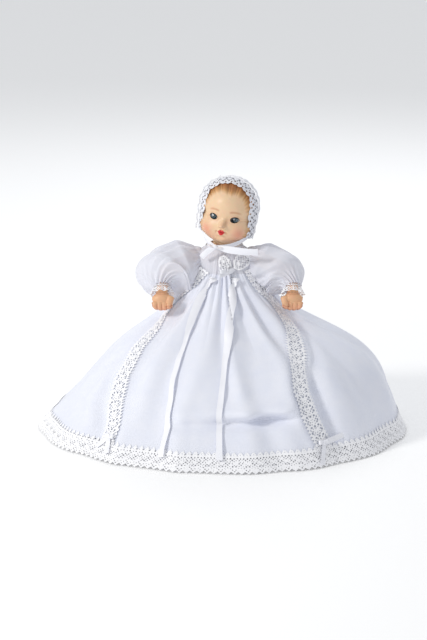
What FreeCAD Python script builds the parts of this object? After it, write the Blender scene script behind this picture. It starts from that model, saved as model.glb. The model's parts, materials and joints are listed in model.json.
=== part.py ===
import FreeCAD
import Part
import math
import os
import Sketcher

# A jointed porcelain baby doll, standing, in a long christening gown and a lace bonnet.
# The doll faces -Y, its own left is at +X and +Z is up. The floor is Z = 0, and the origin
# is on it, at the middle of the gown's hem. Lengths are in millimetres.
# The body is hollow porcelain strung on elastic: a neck ball in a cup, two arms and two
# bent legs on cross cords, and sleep eyes on a weighted rocker. The clothes are thin shells.

doc = FreeCAD.newDocument("ChristeningDoll")
V = FreeCAD.Vector
AXIS_X = V(1, 0, 0)
AXIS_Y = V(0, 1, 0)
AXIS_Z = V(0, 0, 1)

# ---------------------------------------------------------------- driving dimensions

DIMENSIONS = {
    # the whole doll
    "body_x": -4.0,        # the doll's own axis stands behind the middle of the hem
    "body_y": 24.0,
    "gap": 0.4,            # air between neighbours that move or lie on each other
    "bisque": 3.0,         # porcelain wall
    "cloth": 2.0,          # thickness that stands for cloth and its folds
    # head, measured from the middle of the neck ball
    "neck_z": 267.0,
    "head_roll": 9.0,
    "head_yaw": -12.0,
    "neck_ball": 16.0,
    "neck_wall": 3.5,
    "neck_hole": 6.5,
    "neck_stem": 13.5,
    "skull_w": 37.0,
    "skull_d": 42.0,
    "skull_h": 38.0,
    "skull_y": 4.0,
    "skull_z": 50.0,
    "jaw_w": 31.0,
    "jaw_d": 29.0,
    "jaw_h": 25.5,
    "jaw_y": -10.0,
    "jaw_z": 26.0,
    # sleep eyes
    "eye_r": 8.5,
    "eye_x": 15.2,
    "eye_y": -22.6,
    "eye_z": 38.0,
    "lid_w": 5.6,
    "lid_h": 4.3,
    "axle_r": 1.0,
    "axle_end": 21.0,
    "weight_drop": 19.0,
    "weight_r": 4.0,
    "weight_w": 10.0,
    # stringing
    "cord_r": 1.2,
    "knot_r": 3.0,
    "washer_r": 4.4,
    "washer_hole": 1.7,
    "washer_t": 1.5,
    "cord_hole": 2.4,
    "pocket_r": 4.5,
    # shoulders and arms
    "shoulder_x": 41.0,
    "shoulder_z": 243.0,
    "shoulder_r": 13.0,
    "elbow_r": 11.0,
    "wrist_r": 8.0,
    "finger_r": 3.3,
    # hips and legs
    "hip_x": 31.0,
    "hip_z": 146.0,
    "hip_r": 19.0,
    "crotch_w": 20.0,
    "crotch_r": 23.5,
    "thigh_r": 17.5,
    "knee_r": 13.5,
    "calf_r": 14.0,
    "ankle_r": 9.0,
    "knee_z": 84.0,
    "ankle_z": 20.0,
    "foot_w": 11.5,
    "foot_l": 24.0,
    "foot_h": 12.0,
    "foot_z": 6.0,
    # gown and bonnet
    "lace_band_w": 22.0,
    "hem_lace_h": 24.0,
    "streamer_w": 7.0,
    "sleeve_l": 44.0,
    "sleeve_r": 36.0,
    "bonnet_w": 41.0,
    "bonnet_d": 46.0,
    "bonnet_h": 42.0,
    "bonnet_z": 50.0,
    "bonnet_edge": -12.0,
    "bonnet_low": 12.0,
    "brim": 5.0,
    "button_r": 3.0,
    "button_t": 1.6,
}

# The skirt's outline, from the hem up: height, half width, reach to the front and to the
# back of the doll's axis, and how far the section leans to the doll's left.
BELL = [
    (0.0, 258.0, 243.0, 197.0, 0.0),
    (35.0, 237.0, 216.0, 187.0, 6.0),
    (75.0, 211.0, 190.0, 168.0, 15.0),
    (115.0, 174.0, 156.0, 136.0, 16.0),
    (155.0, 112.0, 106.0, 88.0, 6.0),
    (195.0, 63.0, 60.0, 46.0, -2.0),
    (226.0, 46.0, 34.0, 31.0, -4.0),
]
for row, (height, half, front, back, lean) in enumerate(BELL):
    DIMENSIONS[f"bell_{row}_height"] = height
    DIMENSIONS[f"bell_{row}_half"] = half
    DIMENSIONS[f"bell_{row}_front"] = front
    DIMENSIONS[f"bell_{row}_back"] = back
    DIMENSIONS[f"bell_{row}_lean"] = lean

# The torso's outline, from the crotch up: height, half width, half depth.
TORSO = [
    (118.0, 30.0, 21.0),
    (140.0, 36.0, 29.0),
    (165.0, 37.0, 33.0),
    (192.0, 34.0, 29.0),
    (218.0, 36.0, 28.0),
    (240.0, 38.0, 26.0),
    (254.0, 30.0, 22.0),
    (262.0, 20.0, 19.5),
]
for row, (height, half, depth) in enumerate(TORSO):
    DIMENSIONS[f"torso_{row}_height"] = height
    DIMENSIONS[f"torso_{row}_half"] = half
    DIMENSIONS[f"torso_{row}_depth"] = depth

sheet = doc.addObject("Spreadsheet::Sheet", "Sizes")
for line, (alias, value) in enumerate(DIMENSIONS.items(), start=1):
    sheet.set(f"A{line}", alias)
    sheet.set(f"B{line}", str(value))
    sheet.setAlias(f"B{line}", alias)
doc.recompute()


def size(alias):
    return float(sheet.get(alias))


# ---------------------------------------------------------------- building blocks

subparts = []


def bind(feature, **formulas):
    """Ties properties of a feature to formulas over the sheet's aliases."""
    for prop, formula in formulas.items():
        words = str(formula).split()
        named = " ".join("Sizes." + w if w in DIMENSIONS else w for w in words)
        feature.setExpression(prop, named)
    return feature


def keep(feature, label, placement=None):
    """Makes a feature one of the doll's sub-parts, under its own name."""
    feature.Label = label
    if placement is not None:
        feature.Placement = placement
    subparts.append(feature)
    return feature


def facing(direction, at):
    """A placement at a point, with local Z turned to a direction."""
    return FreeCAD.Placement(at, FreeCAD.Rotation(AXIS_Z, direction))


def ball(name, radius, at):
    feature = doc.addObject("Part::Sphere", name)
    bind(feature, Radius=radius)
    feature.Placement.Base = at
    return feature


def egg(name, half_x, half_y, half_z, at):
    feature = doc.addObject("Part::Ellipsoid", name)
    bind(feature, Radius1=half_z, Radius2=half_x, Radius3=half_y)
    feature.Placement.Base = at
    return feature


def rod(name, radius, length, at, direction=AXIS_Z):
    feature = doc.addObject("Part::Cylinder", name)
    bind(feature, Radius=radius, Height=length)
    feature.Placement = facing(direction, at)
    return feature


def limb(name, radius_a, radius_b, a, b):
    """A tapered stretch of a limb from point a to point b."""
    feature = doc.addObject("Part::Cone", name)
    bind(feature, Radius1=radius_a, Radius2=radius_b)
    feature.Height = (b - a).Length
    feature.Placement = facing(b - a, a)
    return feature


def block(name, low, high):
    feature = doc.addObject("Part::Box", name)
    feature.Length = high.x - low.x
    feature.Width = high.y - low.y
    feature.Height = high.z - low.z
    feature.Placement.Base = low
    return feature


def cut(name, base, tool):
    feature = doc.addObject("Part::Cut", name)
    feature.Base = base
    feature.Tool = tool
    return feature


def fuse(name, *shapes):
    feature = doc.addObject("Part::MultiFuse", name)
    feature.Shapes = list(shapes)
    return feature


def common(name, *shapes):
    feature = doc.addObject("Part::MultiCommon", name)
    feature.Shapes = list(shapes)
    return feature


def cut_all(name, base, *tools):
    tool = tools[0] if len(tools) == 1 else fuse(name + "_tools", *tools)
    return cut(name, base, tool)


def section(name, half_x, half_y, x, y, z):
    """A horizontal ellipse, wider than deep, tied to the sheet."""
    feature = doc.addObject("Part::Ellipse", name)
    bind(feature, MajorRadius=half_x, MinorRadius=half_y)
    named = {".Placement.Base.x": x, ".Placement.Base.y": y, ".Placement.Base.z": z}
    for prop, formula in named.items():
        words = str(formula).split()
        feature.setExpression(prop, " ".join("Sizes." + w if w in DIMENSIONS else w for w in words))
    return feature


def loft(name, sections):
    feature = doc.addObject("Part::Loft", name)
    feature.Sections = sections
    feature.Solid = True
    feature.Ruled = False
    return feature


def doll(x, y, z):
    """A point given from the doll's own axis."""
    return V(x + size("body_x"), y + size("body_y"), z)


def sketch_on(body, role, name):
    """An empty sketch on one of a body's origin planes."""
    drawn = body.newObject("Sketcher::SketchObject", name)
    plane = [f for f in body.Origin.OriginFeatures if f.Role == role][0]
    drawn.AttachmentSupport = [(plane, "")]
    drawn.MapMode = "FlatFace"
    return drawn


# ---------------------------------------------------------------- head and eyes

HEAD = FreeCAD.Placement(
    doll(0, 0, size("neck_z")),
    FreeCAD.Rotation(AXIS_Y, size("head_roll")) * FreeCAD.Rotation(AXIS_Z, size("head_yaw")),
)
SIDES = (("left", 1), ("right", -1))


def skull(name, inset):
    """The head's outer form, or the same form drawn in by a wall."""
    crown = egg(name + "_crown", f"skull_w - {inset}", f"skull_d - {inset}", f"skull_h - {inset}",
                V(0, size("skull_y"), size("skull_z")))
    jaw = egg(name + "_jaw", f"jaw_w - {inset}", f"jaw_d - {inset}", f"jaw_h - {inset}",
              V(0, size("jaw_y"), size("jaw_z")))
    return crown, jaw


def make_head():
    crown, jaw = skull("head", "0")
    neck = ball("neck_ball_form", "neck_ball", V(0, 0, 0))
    stem = rod("neck_stem_form", "neck_stem", "skull_z / 2", V(0, 0, 0))
    nose = egg("nose_form", "4.2", "5.0", "4.0", V(0, -38.5, 30))
    lips = egg("lips_form", "5.6", "2.4", "3.4", V(0, -38.2, 17))
    ears = [egg(f"ear_{side}", "2.3", "7", "9", V(sign * 33.0, 6, 34)) for side, sign in SIDES]
    outer = fuse("head_outer", crown, jaw, neck, stem, nose, lips, *ears)
    hollow = fuse("head_hollow", *skull("hollow", "bisque"))
    neck_room = ball("neck_room", "neck_ball - neck_wall", V(0, 0, 0))
    passage = rod("neck_passage", "neck_stem - neck_wall", "skull_z / 2", V(0, 0, 0))
    mouth_of_neck = rod("neck_mouth", "neck_hole", "neck_ball + 4", V(0, 0, -size("neck_ball") - 4))
    tools = [hollow, neck_room, passage, mouth_of_neck]
    for side, sign in SIDES:
        middle = V(sign * size("eye_x"), size("eye_y"), size("eye_z"))
        tools.append(ball(f"socket_{side}", "eye_r + gap", middle))
        front = V(sign * size("eye_x"), -34, size("eye_z"))
        tools.append(egg(f"lid_{side}", "lid_w", "6", "lid_h", front))
    keep(cut_all("head_shell", outer, *tools), "head", HEAD)
    return hollow


def make_eyes(hollow):
    reach = size("axle_end")
    for side, sign in SIDES:
        middle = V(sign * size("eye_x"), size("eye_y"), size("eye_z"))
        glass = ball(f"glass_{side}", "eye_r", middle)
        bore = rod(f"glass_bore_{side}", "axle_r", "eye_r * 3",
                   middle - AXIS_X * 1.5 * size("eye_r"), AXIS_X)
        keep(cut(f"eyeball_{side}", glass, bore), f"{side}_eye", HEAD)
    start = V(-reach, size("eye_y"), size("eye_z"))
    axle = rod("axle_form", "axle_r", "axle_end * 2", start, AXIS_X)
    arm_top = V(0, size("eye_y"), size("eye_z"))
    arm = rod("rocker_arm", "axle_r", "weight_drop", arm_top, V(0, 0, -1))
    keep(fuse("rocker_form", axle, arm), "eye_rocker", HEAD)
    # The bearing is a plaster fork, stuck to the inside of the bridge of the nose.
    forks = []
    for side, sign in SIDES:
        inner, outer = sorted((sign * 3.0, sign * 5.4))
        forks.append(block(f"fork_{side}", V(inner, -40, size("eye_z") - 3.5),
                           V(outer, size("eye_y") + 3.5, size("eye_z") + 3.5)))
    forks.append(block("fork_bridge", V(-4, -40, size("eye_z") - 3.5), V(4, -30, size("eye_z") + 3.5)))
    stuck = common("fork_in_head", fuse("forks", *forks), hollow)
    bore = rod("fork_bore", "axle_r + 0.06", "16", V(-8, size("eye_y"), size("eye_z")), AXIS_X)
    rooms = [ball(f"fork_room_{side}", "eye_r + gap",
                  V(sign * size("eye_x"), size("eye_y"), size("eye_z"))) for side, sign in SIDES]
    keep(cut_all("fork_bored", stuck, bore, *rooms), "eye_bearing", HEAD)


def make_eye_weight():
    """A lead bar across the lower end of the rocker's arm."""
    body = doc.addObject("PartDesign::Body", "WeightBody")
    drawn = sketch_on(body, "YZ_Plane", "WeightSketch")
    drawn.addGeometry(Part.Circle(V(0, 0, 0), AXIS_Z, size("weight_r")), False)
    drawn.addConstraint(Sketcher.Constraint("Radius", 0, size("weight_r")))
    drawn.setExpression("Constraints[0]", "Sizes.weight_r")
    pad = body.newObject("PartDesign::Pad", "WeightPad")
    pad.Profile = drawn
    pad.setExpression("Length", "Sizes.weight_w")
    doc.recompute()
    centre = body.Shape.CenterOfMass
    drop = size("weight_drop") + size("weight_r")
    hang = V(0, size("eye_y"), size("eye_z") - drop)
    keep(body, "eye_weight", HEAD * FreeCAD.Placement(hang - centre, FreeCAD.Rotation()))


def make_neck_button():
    """A wooden lens inside the neck ball. The elastic pulls it, and so the head, down into the cup."""
    lens = ball("button_lens", "neck_ball - neck_wall - 0.3", V(0, 0, 0))
    slab = block("button_slab", V(-20, -20, -20), V(20, 20, -6.5))
    hole = rod("button_hole", "washer_hole", "20", V(0, 0, -20))
    keep(cut("button_form", common("button_cap", lens, slab), hole), "neck_button",
         FreeCAD.Placement(doll(0, 0, size("neck_z")), FreeCAD.Rotation()))


# ---------------------------------------------------------------- torso

def torso_loft(name, inset, rows):
    sections = []
    for i in rows:
        sections.append(section(f"{name}_{i}", f"torso_{i}_half - {inset}", f"torso_{i}_depth - {inset}",
                                "body_x", "body_y", f"torso_{i}_height"))
    return loft(name, sections)


def make_torso():
    outer = torso_loft("torso_outer", "0", range(len(TORSO)))
    hip = size("hip_z")
    wide = 2 * size("hip_x") + 60
    # The pelvis between the legs is round about the hip axis, and the legs turn beside it.
    pelvis = rod("pelvis", "crotch_r", "crotch_w * 2", doll(-size("crotch_w"), 0, hip), AXIS_X)
    lower = block("lower_room", doll(-wide / 2, -60, 90), doll(wide / 2, 60, hip + 6.5))
    above = cut("torso_above", outer, lower)
    spine = common("pelvis_core", outer, block("pelvis_slab", doll(-size("crotch_w"), -60, hip),
                                               doll(size("crotch_w"), 60, hip + 8)))
    whole = fuse("torso_whole", above, pelvis, spine)
    tools = [ball("neck_cup", "neck_ball + gap", doll(0, 0, size("neck_z")))]
    tools.append(rod("neck_well", "6", "30", doll(0, 0, size("neck_z") - 40)))
    for side, sign in SIDES:
        tools.append(ball(f"shoulder_cup_{side}", "shoulder_r + gap",
                          doll(sign * size("shoulder_x"), 0, size("shoulder_z"))))
        tools.append(rod(f"hip_cup_{side}", "hip_r + 1.4", "50", doll(sign * size("crotch_w"), 0, hip),
                         AXIS_X * sign))
    tools.append(rod("shoulder_duct", "3.2", "80", doll(-40, 0, size("shoulder_z")), AXIS_X))
    tools.append(rod("hip_duct", "3.2", "80", doll(-40, 0, hip), AXIS_X))
    tools.append(rod("belly_duct", "5.2", "40", doll(0, 0, hip)))
    tools.append(ball("loop_room", "7.2", doll(0, 0, hip)))
    room = [section("room_0", "26", "20", "body_x", "body_y", "172"),
            section("room_1", "29", "24", "body_x", "body_y", "192"),
            section("room_2", "27", "22", "body_x", "body_y", "212"),
            section("room_3", "20", "15", "body_x", "body_y", "236")]
    tools.append(loft("torso_room", room))
    keep(cut_all("torso_shell", whole, *tools), "torso")


# ---------------------------------------------------------------- stringing

def make_cross_cord(label, knots_x, z):
    """An elastic cord along X between two limbs, with a knot at each end."""
    at = doll(-knots_x, 0, z)
    cord = doc.addObject("Part::Cylinder", label + "_cord")
    bind(cord, Radius="cord_r")
    cord.Height = 2 * knots_x
    cord.Placement = facing(AXIS_X, at)
    knots = [ball(f"{label}_knot_{side}", "knot_r", doll(sign * knots_x, 0, z)) for side, sign in SIDES]
    keep(fuse(label + "_form", cord, *knots), label)


def make_neck_cord():
    """The neck elastic is a loop: its strands pass the arm cord and go round the leg cord."""
    top = size("neck_z") - 6.5 + 3.3
    spread = 3.4
    hip = size("hip_z")
    crimp = 248.5
    pieces = [ball("neck_knot", "knot_r", doll(0, 0, top))]
    pieces.append(rod("neck_cord", "cord_r", f"{top - crimp}", doll(0, 0, crimp)))
    pieces.append(block("neck_crimp", doll(-1.5, -5, crimp - 1.5), doll(1.5, 5, crimp + 1.5)))
    pieces.append(block("neck_under", doll(-1.3, -4.9, hip - 4.4), doll(1.3, 4.9, hip - 2.2)))
    for name, sign in (("front", -1), ("back", 1)):
        pieces.append(rod(f"{name}_strand", "cord_r", f"{crimp - hip + 3}",
                          doll(0, sign * spread, hip - 3)))
    keep(fuse("neck_cord_form", *pieces), "neck_elastic")


def cord_seat(name, sign, face, wall, z):
    """The stepped hole in a limb: a narrow way for the cord, then a pocket for washer and knot."""
    way = rod(name + "_way", "cord_hole", "8", doll(sign * (face - 3), 0, z), AXIS_X * sign)
    pocket = rod(name + "_pocket", "pocket_r", "14", doll(sign * (face + wall), 0, z), AXIS_X * sign)
    return fuse(name + "_seat", way, pocket)


def make_washer(label, sign, seat, z):
    """A ring that holds the knot inside a limb: a padded disc with a bored middle."""
    body = doc.addObject("PartDesign::Body", label + "_body")
    drawn = sketch_on(body, "YZ_Plane", label + "_sketch")
    for number, alias in enumerate(("washer_r", "washer_hole")):
        drawn.addGeometry(Part.Circle(V(0, 0, 0), AXIS_Z, size(alias)), False)
        drawn.addConstraint(Sketcher.Constraint("Radius", number, size(alias)))
        drawn.setExpression(f"Constraints[{number}]", f"Sizes.{alias}")
    pad = body.newObject("PartDesign::Pad", label + "_pad")
    pad.Profile = drawn
    pad.setExpression("Length", "Sizes.washer_t")
    doc.recompute()
    low = seat if sign > 0 else -seat - size("washer_t")
    keep(body, label, FreeCAD.Placement(doll(low, 0, z), FreeCAD.Rotation()))


# ---------------------------------------------------------------- arms and legs

def make_arm(side, sign):
    def p(x, y, z):
        return doll(sign * x, y, z)

    # both hands hang equally far from the middle of the gown, so one arm reaches further out
    reach = 92 - sign * size("body_x")
    shoulder = p(size("shoulder_x"), 0, size("shoulder_z"))
    elbow, wrist = p(reach - 6, -10, 224), p(reach, -40, 207)
    palm = p(reach, -49, 194)
    pieces = [
        ball(f"{side}_shoulder_ball", "shoulder_r", shoulder),
        limb(f"{side}_upper_arm", "shoulder_r - 1.5", "elbow_r - 0.4", shoulder, elbow),
        ball(f"{side}_elbow", "elbow_r", elbow),
        limb(f"{side}_forearm", "elbow_r - 0.6", "wrist_r - 0.3", elbow, wrist),
        ball(f"{side}_wrist", "wrist_r", wrist),
        limb(f"{side}_hand_root", "wrist_r - 0.5", "wrist_r + 0.2", wrist, palm),
        egg(f"{side}_palm", "10.5", "8.5", "11", palm),
    ]
    # four curled fingers, side by side, each a knuckle stretch and a tip turned in, and a thumb
    for number in range(4):
        x = reach + 7.3 - 4.9 * number
        knuckle = p(x, -55, 188)
        bend = p(x - 0.4, -58, 181.3)
        tip = p(x - 1.1, -51.3, 178.2)
        root = f"{side}_finger_{number}"
        pieces.append(ball(root + "_knuckle", "finger_r + 0.3", knuckle))
        pieces.append(limb(root + "_first", "finger_r", "finger_r - 0.2", knuckle, bend))
        pieces.append(ball(root + "_bend", "finger_r", bend))
        pieces.append(limb(root + "_last", "finger_r - 0.2", "finger_r - 0.4", bend, tip))
        pieces.append(ball(root + "_tip", "finger_r - 0.2", tip))
    thumb_a, thumb_b = p(reach - 9, -53, 196), p(reach - 8, -60, 187)
    pieces.append(ball(f"{side}_thumb_root", "finger_r + 0.8", thumb_a))
    pieces.append(limb(f"{side}_thumb", "finger_r + 0.5", "finger_r", thumb_a, thumb_b))
    pieces.append(ball(f"{side}_thumb_tip", "finger_r + 0.3", thumb_b))
    upper = fuse(f"{side}_arm_upper", *pieces[:7])
    whole = fuse(f"{side}_arm_whole", upper, fuse(f"{side}_fingers", *pieces[7:]))
    inner = size("shoulder_x") - size("shoulder_r")
    keep(cut(f"{side}_arm_form", whole, cord_seat(f"{side}_arm", sign, inner, 2.0, size("shoulder_z"))),
         f"{side}_arm")
    make_washer(f"{side}_arm_washer", sign, inner + 2.0, size("shoulder_z"))


def make_leg(side, sign):
    def p(x, y, z):
        return doll(sign * x, y, z)

    hip = p(size("hip_x"), 0, size("hip_z"))
    knee = p(30, -3, size("knee_z"))
    calf = p(29, 2, 58)
    ankle = p(28, 0, size("ankle_z"))
    pieces = [
        ball(f"{side}_hip_ball", "hip_r", hip),
        limb(f"{side}_thigh", "thigh_r", "knee_r - 0.4", hip, knee),
        ball(f"{side}_knee", "knee_r", knee),
        limb(f"{side}_shin_top", "knee_r - 0.5", "calf_r - 0.5", knee, calf),
        ball(f"{side}_calf", "calf_r", calf),
        limb(f"{side}_shin", "calf_r - 0.6", "ankle_r - 0.4", calf, ankle),
        ball(f"{side}_ankle", "ankle_r + 0.2", ankle),
        limb(f"{side}_heel", "ankle_r", "ankle_r - 0.5", ankle, p(28, 3, 5)),
        egg(f"{side}_foot", "foot_w", "foot_l", "foot_h", p(28, -13, size("foot_z"))),
    ]
    for number in range(5):
        along = -34 + 1.6 * number
        pieces.append(ball(f"{side}_toe_{number}", f"{4.2 - 0.35 * number}",
                           p(22 + 3.6 * number, along, 4.2)))
    whole = fuse(f"{side}_leg_whole", *pieces)
    crotch = size("crotch_w") + size("gap")
    low, high = sorted((0, sign * crotch))
    inner_cut = rod(f"{side}_crotch_cut", "crotch_r + gap", f"{high - low}",
                    doll(low, 0, size("hip_z")), AXIS_X)
    floor = block(f"{side}_floor", p(28, 0, 0) + V(-60, -80, -30), p(28, 0, 0) + V(60, 80, 0))
    seat = cord_seat(f"{side}_leg", sign, crotch, 2.6, size("hip_z"))
    keep(cut_all(f"{side}_leg_form", whole, inner_cut, floor, seat), f"{side}_leg")
    make_washer(f"{side}_leg_washer", sign, crotch + 2.6, size("hip_z"))


# ---------------------------------------------------------------- gown

def bell(name, offset):
    """The skirt's form as one solid, drawn out or in by an offset."""
    sections = []
    for i in range(len(BELL)):
        half = f"bell_{i}_half + {offset}" if offset >= 0 else f"bell_{i}_half - {-offset}"
        grow = f"+ {offset}" if offset >= 0 else f"- {-offset}"
        depth = f"bell_{i}_front / 2 + Sizes.bell_{i}_back / 2 {grow}"
        middle = f"body_y + Sizes.bell_{i}_back / 2 - Sizes.bell_{i}_front / 2"
        sections.append(section(f"{name}_{i}", half, depth, f"bell_{i}_lean", middle, f"bell_{i}_height"))
    return loft(name, sections)


def shell_of(name, outside, inside, low, high):
    """The layer between two offsets of the skirt's form, between two heights."""
    layer = cut(name + "_layer", bell(name + "_out", outside), bell(name + "_in", inside))
    if low <= 0 and high >= BELL[-1][0]:
        return layer
    return common(name + "_slice", layer, block(name + "_slab", V(-300, -300, low), V(300, 300, high)))


def wedge(name, start_angle, end_angle):
    """An upright sector from the doll's axis. Angles run from the front towards the doll's left."""
    corners = [V(0, 0, 0)]
    steps = 4
    for i in range(steps + 1):
        a = math.radians(start_angle + (end_angle - start_angle) * i / steps)
        corners.append(V(420 * math.sin(a), -420 * math.cos(a), 0))
    return prism(name, corners, doll(0, 0, -5), V(0, 0, 300))


def prism(name, corners, at, push):
    """A flat outline pushed along a vector into a solid."""
    face = doc.addObject("Part::Feature", name + "_face")
    face.Shape = Part.Face(Part.makePolygon(corners + corners[:1]))
    face.Placement.Base = at
    feature = doc.addObject("Part::Extrusion", name)
    feature.Base = face
    feature.DirMode = "Custom"
    feature.Dir = push
    feature.LengthFwd = push.Length
    feature.Solid = True
    return feature


def strip(name, run, width, taper=0.0):
    """A strip that follows a run of (x, z) points seen from the front, pushed through the skirt's front.

    It is narrower towards the top by the taper, a share of its width."""
    def half(z):
        return width / 2 * (1 - taper * max(z, 0) / BELL[-1][0])

    near = [V(x - half(z), 0, z) for x, z in run]
    far = [V(x + half(z), 0, z) for x, z in reversed(run)]
    return prism(name, near + far, V(0, size("body_y"), 0), V(0, -320, 0))


def front_outline(name, spread):
    """The front panel's outline between the two lace bands, widened or narrowed by a spread."""
    right = [V(x - spread, 0, z) for x, z in BAND_RUNS["right"]]
    left = [V(x + spread, 0, z) for x, z in reversed(BAND_RUNS["left"])]
    return prism(name, right + left, V(0, size("body_y"), 0), V(0, -320, 0))


# Runs of points (x, z) that the trims follow down the skirt, as seen from the front.
BAND_RUNS = {
    "left": [(23, 233), (32, 208), (44, 186), (62, 168), (77, 152), (90, 134), (95, 110), (98, 92),
             (111, 60), (131, 23), (140, -1)],
    "right": [(-28, 233), (-42, 208), (-62, 184), (-82, 166), (-97, 150), (-120, 124), (-140, 94),
              (-151, 65), (-157, 39), (-163, 6), (-164, -1)],
}
STREAMER_RUNS = {
    "left": [(10, 226), (5, 196), (2, 170), (1, 148), (-5, 113), (-12, 66), (-10, 26)],
    "right": [(-18, 226), (-37, 198), (-49, 174), (-55, 158), (-74, 107), (-84, 29), (-85, 26)],
}


def make_skirt():
    layer = shell_of("skirt", 0.0, -size("cloth"), 0, 300)
    front = common("skirt_front_form", layer, front_outline("front_room", -0.12))
    keep(front, "skirt_front_panel")
    rest = cut("skirt_rest", layer, front_outline("front_cut", 0.12))
    seam = 0.08
    panels = {
        "skirt_left_panel": (0, 112),
        "skirt_back_left_panel": (112, 180),
        "skirt_back_right_panel": (180, 248),
        "skirt_right_panel": (248, 360),
    }
    for label, (start, end) in panels.items():
        sector = wedge(label + "_wedge", start + seam, end - seam)
        keep(common(label + "_form", rest, sector), label)
    keep(shell_of("slip", -6.0, -8.0, 14, 204), "slip")


def make_trims():
    lift = 0.5
    low = size("hem_lace_h") + 1
    top = BELL[-1][0] - 2
    lace = shell_of("band_layer", lift + 1.0, lift, low, top)
    for side, run in BAND_RUNS.items():
        band = strip(side + "_band_strip", run, size("lace_band_w"), 0.45)
        keep(common(side + "_band_form", lace, band), f"{side}_lace_band")
    keep(shell_of("hem_layer", lift + 1.0, lift, 0.4, size("hem_lace_h")), "hem_lace")
    ribbons = shell_of("ribbon_layer", lift + 0.8, lift, low, top)
    for side, run in STREAMER_RUNS.items():
        ribbon = strip(side + "_streamer_strip", run, size("streamer_w"))
        keep(common(side + "_streamer_form", ribbons, ribbon), f"{side}_streamer")


def bodice_form(name, grow):
    """The bodice's outline as one solid, from the waist seam to the neck, drawn out by a step."""
    rows = ((46, 32.5, 226.4), (46, 30.5, 245), (38, 26.5, 254), (26.6, 24, 260))
    sections = []
    for number, (half, depth, z) in enumerate(rows):
        sections.append(section(f"{name}_{number}", f"{half + grow}", f"{depth + grow}", "body_x", "body_y",
                                f"{z}"))
    return loft(name, sections)


def make_bodice():
    shell = cut("bodice_shell", bodice_form("bodice_out", 0.0), bodice_form("bodice_in", -2.0))
    holes = [rod(f"armhole_{side}", "shoulder_r + 3", "60", doll(28 if sign > 0 else -88, 0,
             size("shoulder_z")), AXIS_X) for side, sign in SIDES]
    keep(cut_all("bodice_form", shell, *holes), "bodice")
    band = rod("collar_out", "26.2", "2.2", doll(0, 0, 260.4))
    throat = rod("collar_in", "23.4", "6", doll(0, 0, 259))
    keep(cut("collar_form", band, throat), "collar")
    # two leaves of lace that meet in a V over the breast
    layer = cut("chest_layer", bodice_form("chest_out", 1.3), bodice_form("chest_in", 0.4))
    leaves = [V(-16, 0, 254), V(-4, 0, 256), V(8, 0, 246), V(22, 0, 256), V(34, 0, 252), V(26, 0, 240),
              V(9, 0, 233), V(-8, 0, 240)]
    keep(common("chest_lace_form", layer, prism("leaves", leaves, doll(0, 0, 0), V(0, -90, 0))),
         "chest_lace")


def make_sleeve(side, sign):
    middle = doll(sign * 83, -14, 226)
    along = V(sign * 43, -38, -36)
    turn = FreeCAD.Rotation(AXIS_Z, along)
    outer = egg(f"{side}_sleeve_out", "sleeve_r", "sleeve_r", "sleeve_l", middle)
    inner = egg(f"{side}_sleeve_in", "sleeve_r - cloth", "sleeve_r - cloth", "sleeve_l - cloth", middle)
    for puff in (outer, inner):
        puff.Placement = FreeCAD.Placement(middle, turn)
    shell = cut(f"{side}_sleeve_shell", outer, inner)
    start = doll(0, 0, size("shoulder_z"))
    armhole = rod(f"{side}_sleeve_armhole", "21", "60", start, AXIS_X * sign)
    low, high = sorted((sign * 49.5, 0))
    inner_side = block(f"{side}_sleeve_side", doll(low, -80, 160), doll(high, 80, 300))
    out = 92 - sign * size("body_x")
    wrist = doll(sign * out, -34, 213)
    cuff = rod(f"{side}_sleeve_mouth", "11.5", "40", wrist, V(0, -10, -13))
    clear = bell(f"{side}_skirt_room", 2.6)
    ruffle_at = doll(sign * out, -37.6, 209.0)
    ruffle_room = rod(f"{side}_cuff_room", "17.2", "30", ruffle_at + V(0, 0.3, 0.4), V(0, -10, -13))
    keep(cut_all(f"{side}_sleeve_form", shell, armhole, inner_side, cuff, clear, ruffle_room),
         f"{side}_sleeve")
    # the cuff's lace ruffle: a short flared ring round the wrist
    flare = doc.addObject("Part::Cone", f"{side}_cuff_out")
    hole = doc.addObject("Part::Cone", f"{side}_cuff_in")
    for cone, thin in ((flare, 0.0), (hole, 1.2)):
        cone.Radius1 = 13.0 - thin
        cone.Radius2 = 16.5 - thin
        cone.Height = 6
        cone.Placement = facing(V(0, -10, -13), ruffle_at)
    keep(cut(f"{side}_cuff_form", flare, hole), f"{side}_cuff")


def ribbon_box(name, a, b, width, thickness, normal):
    """A flat strip of ribbon from a to b, its face turned to a normal."""
    along = (b - a).normalize()
    side = along.cross(normal).normalize()
    face_normal = side.cross(along)
    feature = doc.addObject("Part::Box", name)
    feature.Length = (b - a).Length
    feature.Width = width
    feature.Height = thickness
    turn = FreeCAD.Rotation(along, side * -1, face_normal, "XYZ")
    corner = a + side * (width / 2) - face_normal * (thickness / 2)
    feature.Placement = FreeCAD.Placement(corner, turn)
    return feature


def make_bow(label, middle, tails, width, knot, normal):
    """A ribbon knot with straight loops or tails that run out from it."""
    pieces = [rod(label + "_knot", f"{knot}", f"{1.4 * knot}", middle - normal * 0.7 * knot, normal)]
    for number, end in enumerate(tails):
        away = (end - middle).normalize()
        start = middle + away * (knot * 0.4)
        pieces.append(ribbon_box(f"{label}_tail_{number}", start, end, width, 0.8, normal))
    keep(fuse(label + "_form", *pieces), label)


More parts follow.
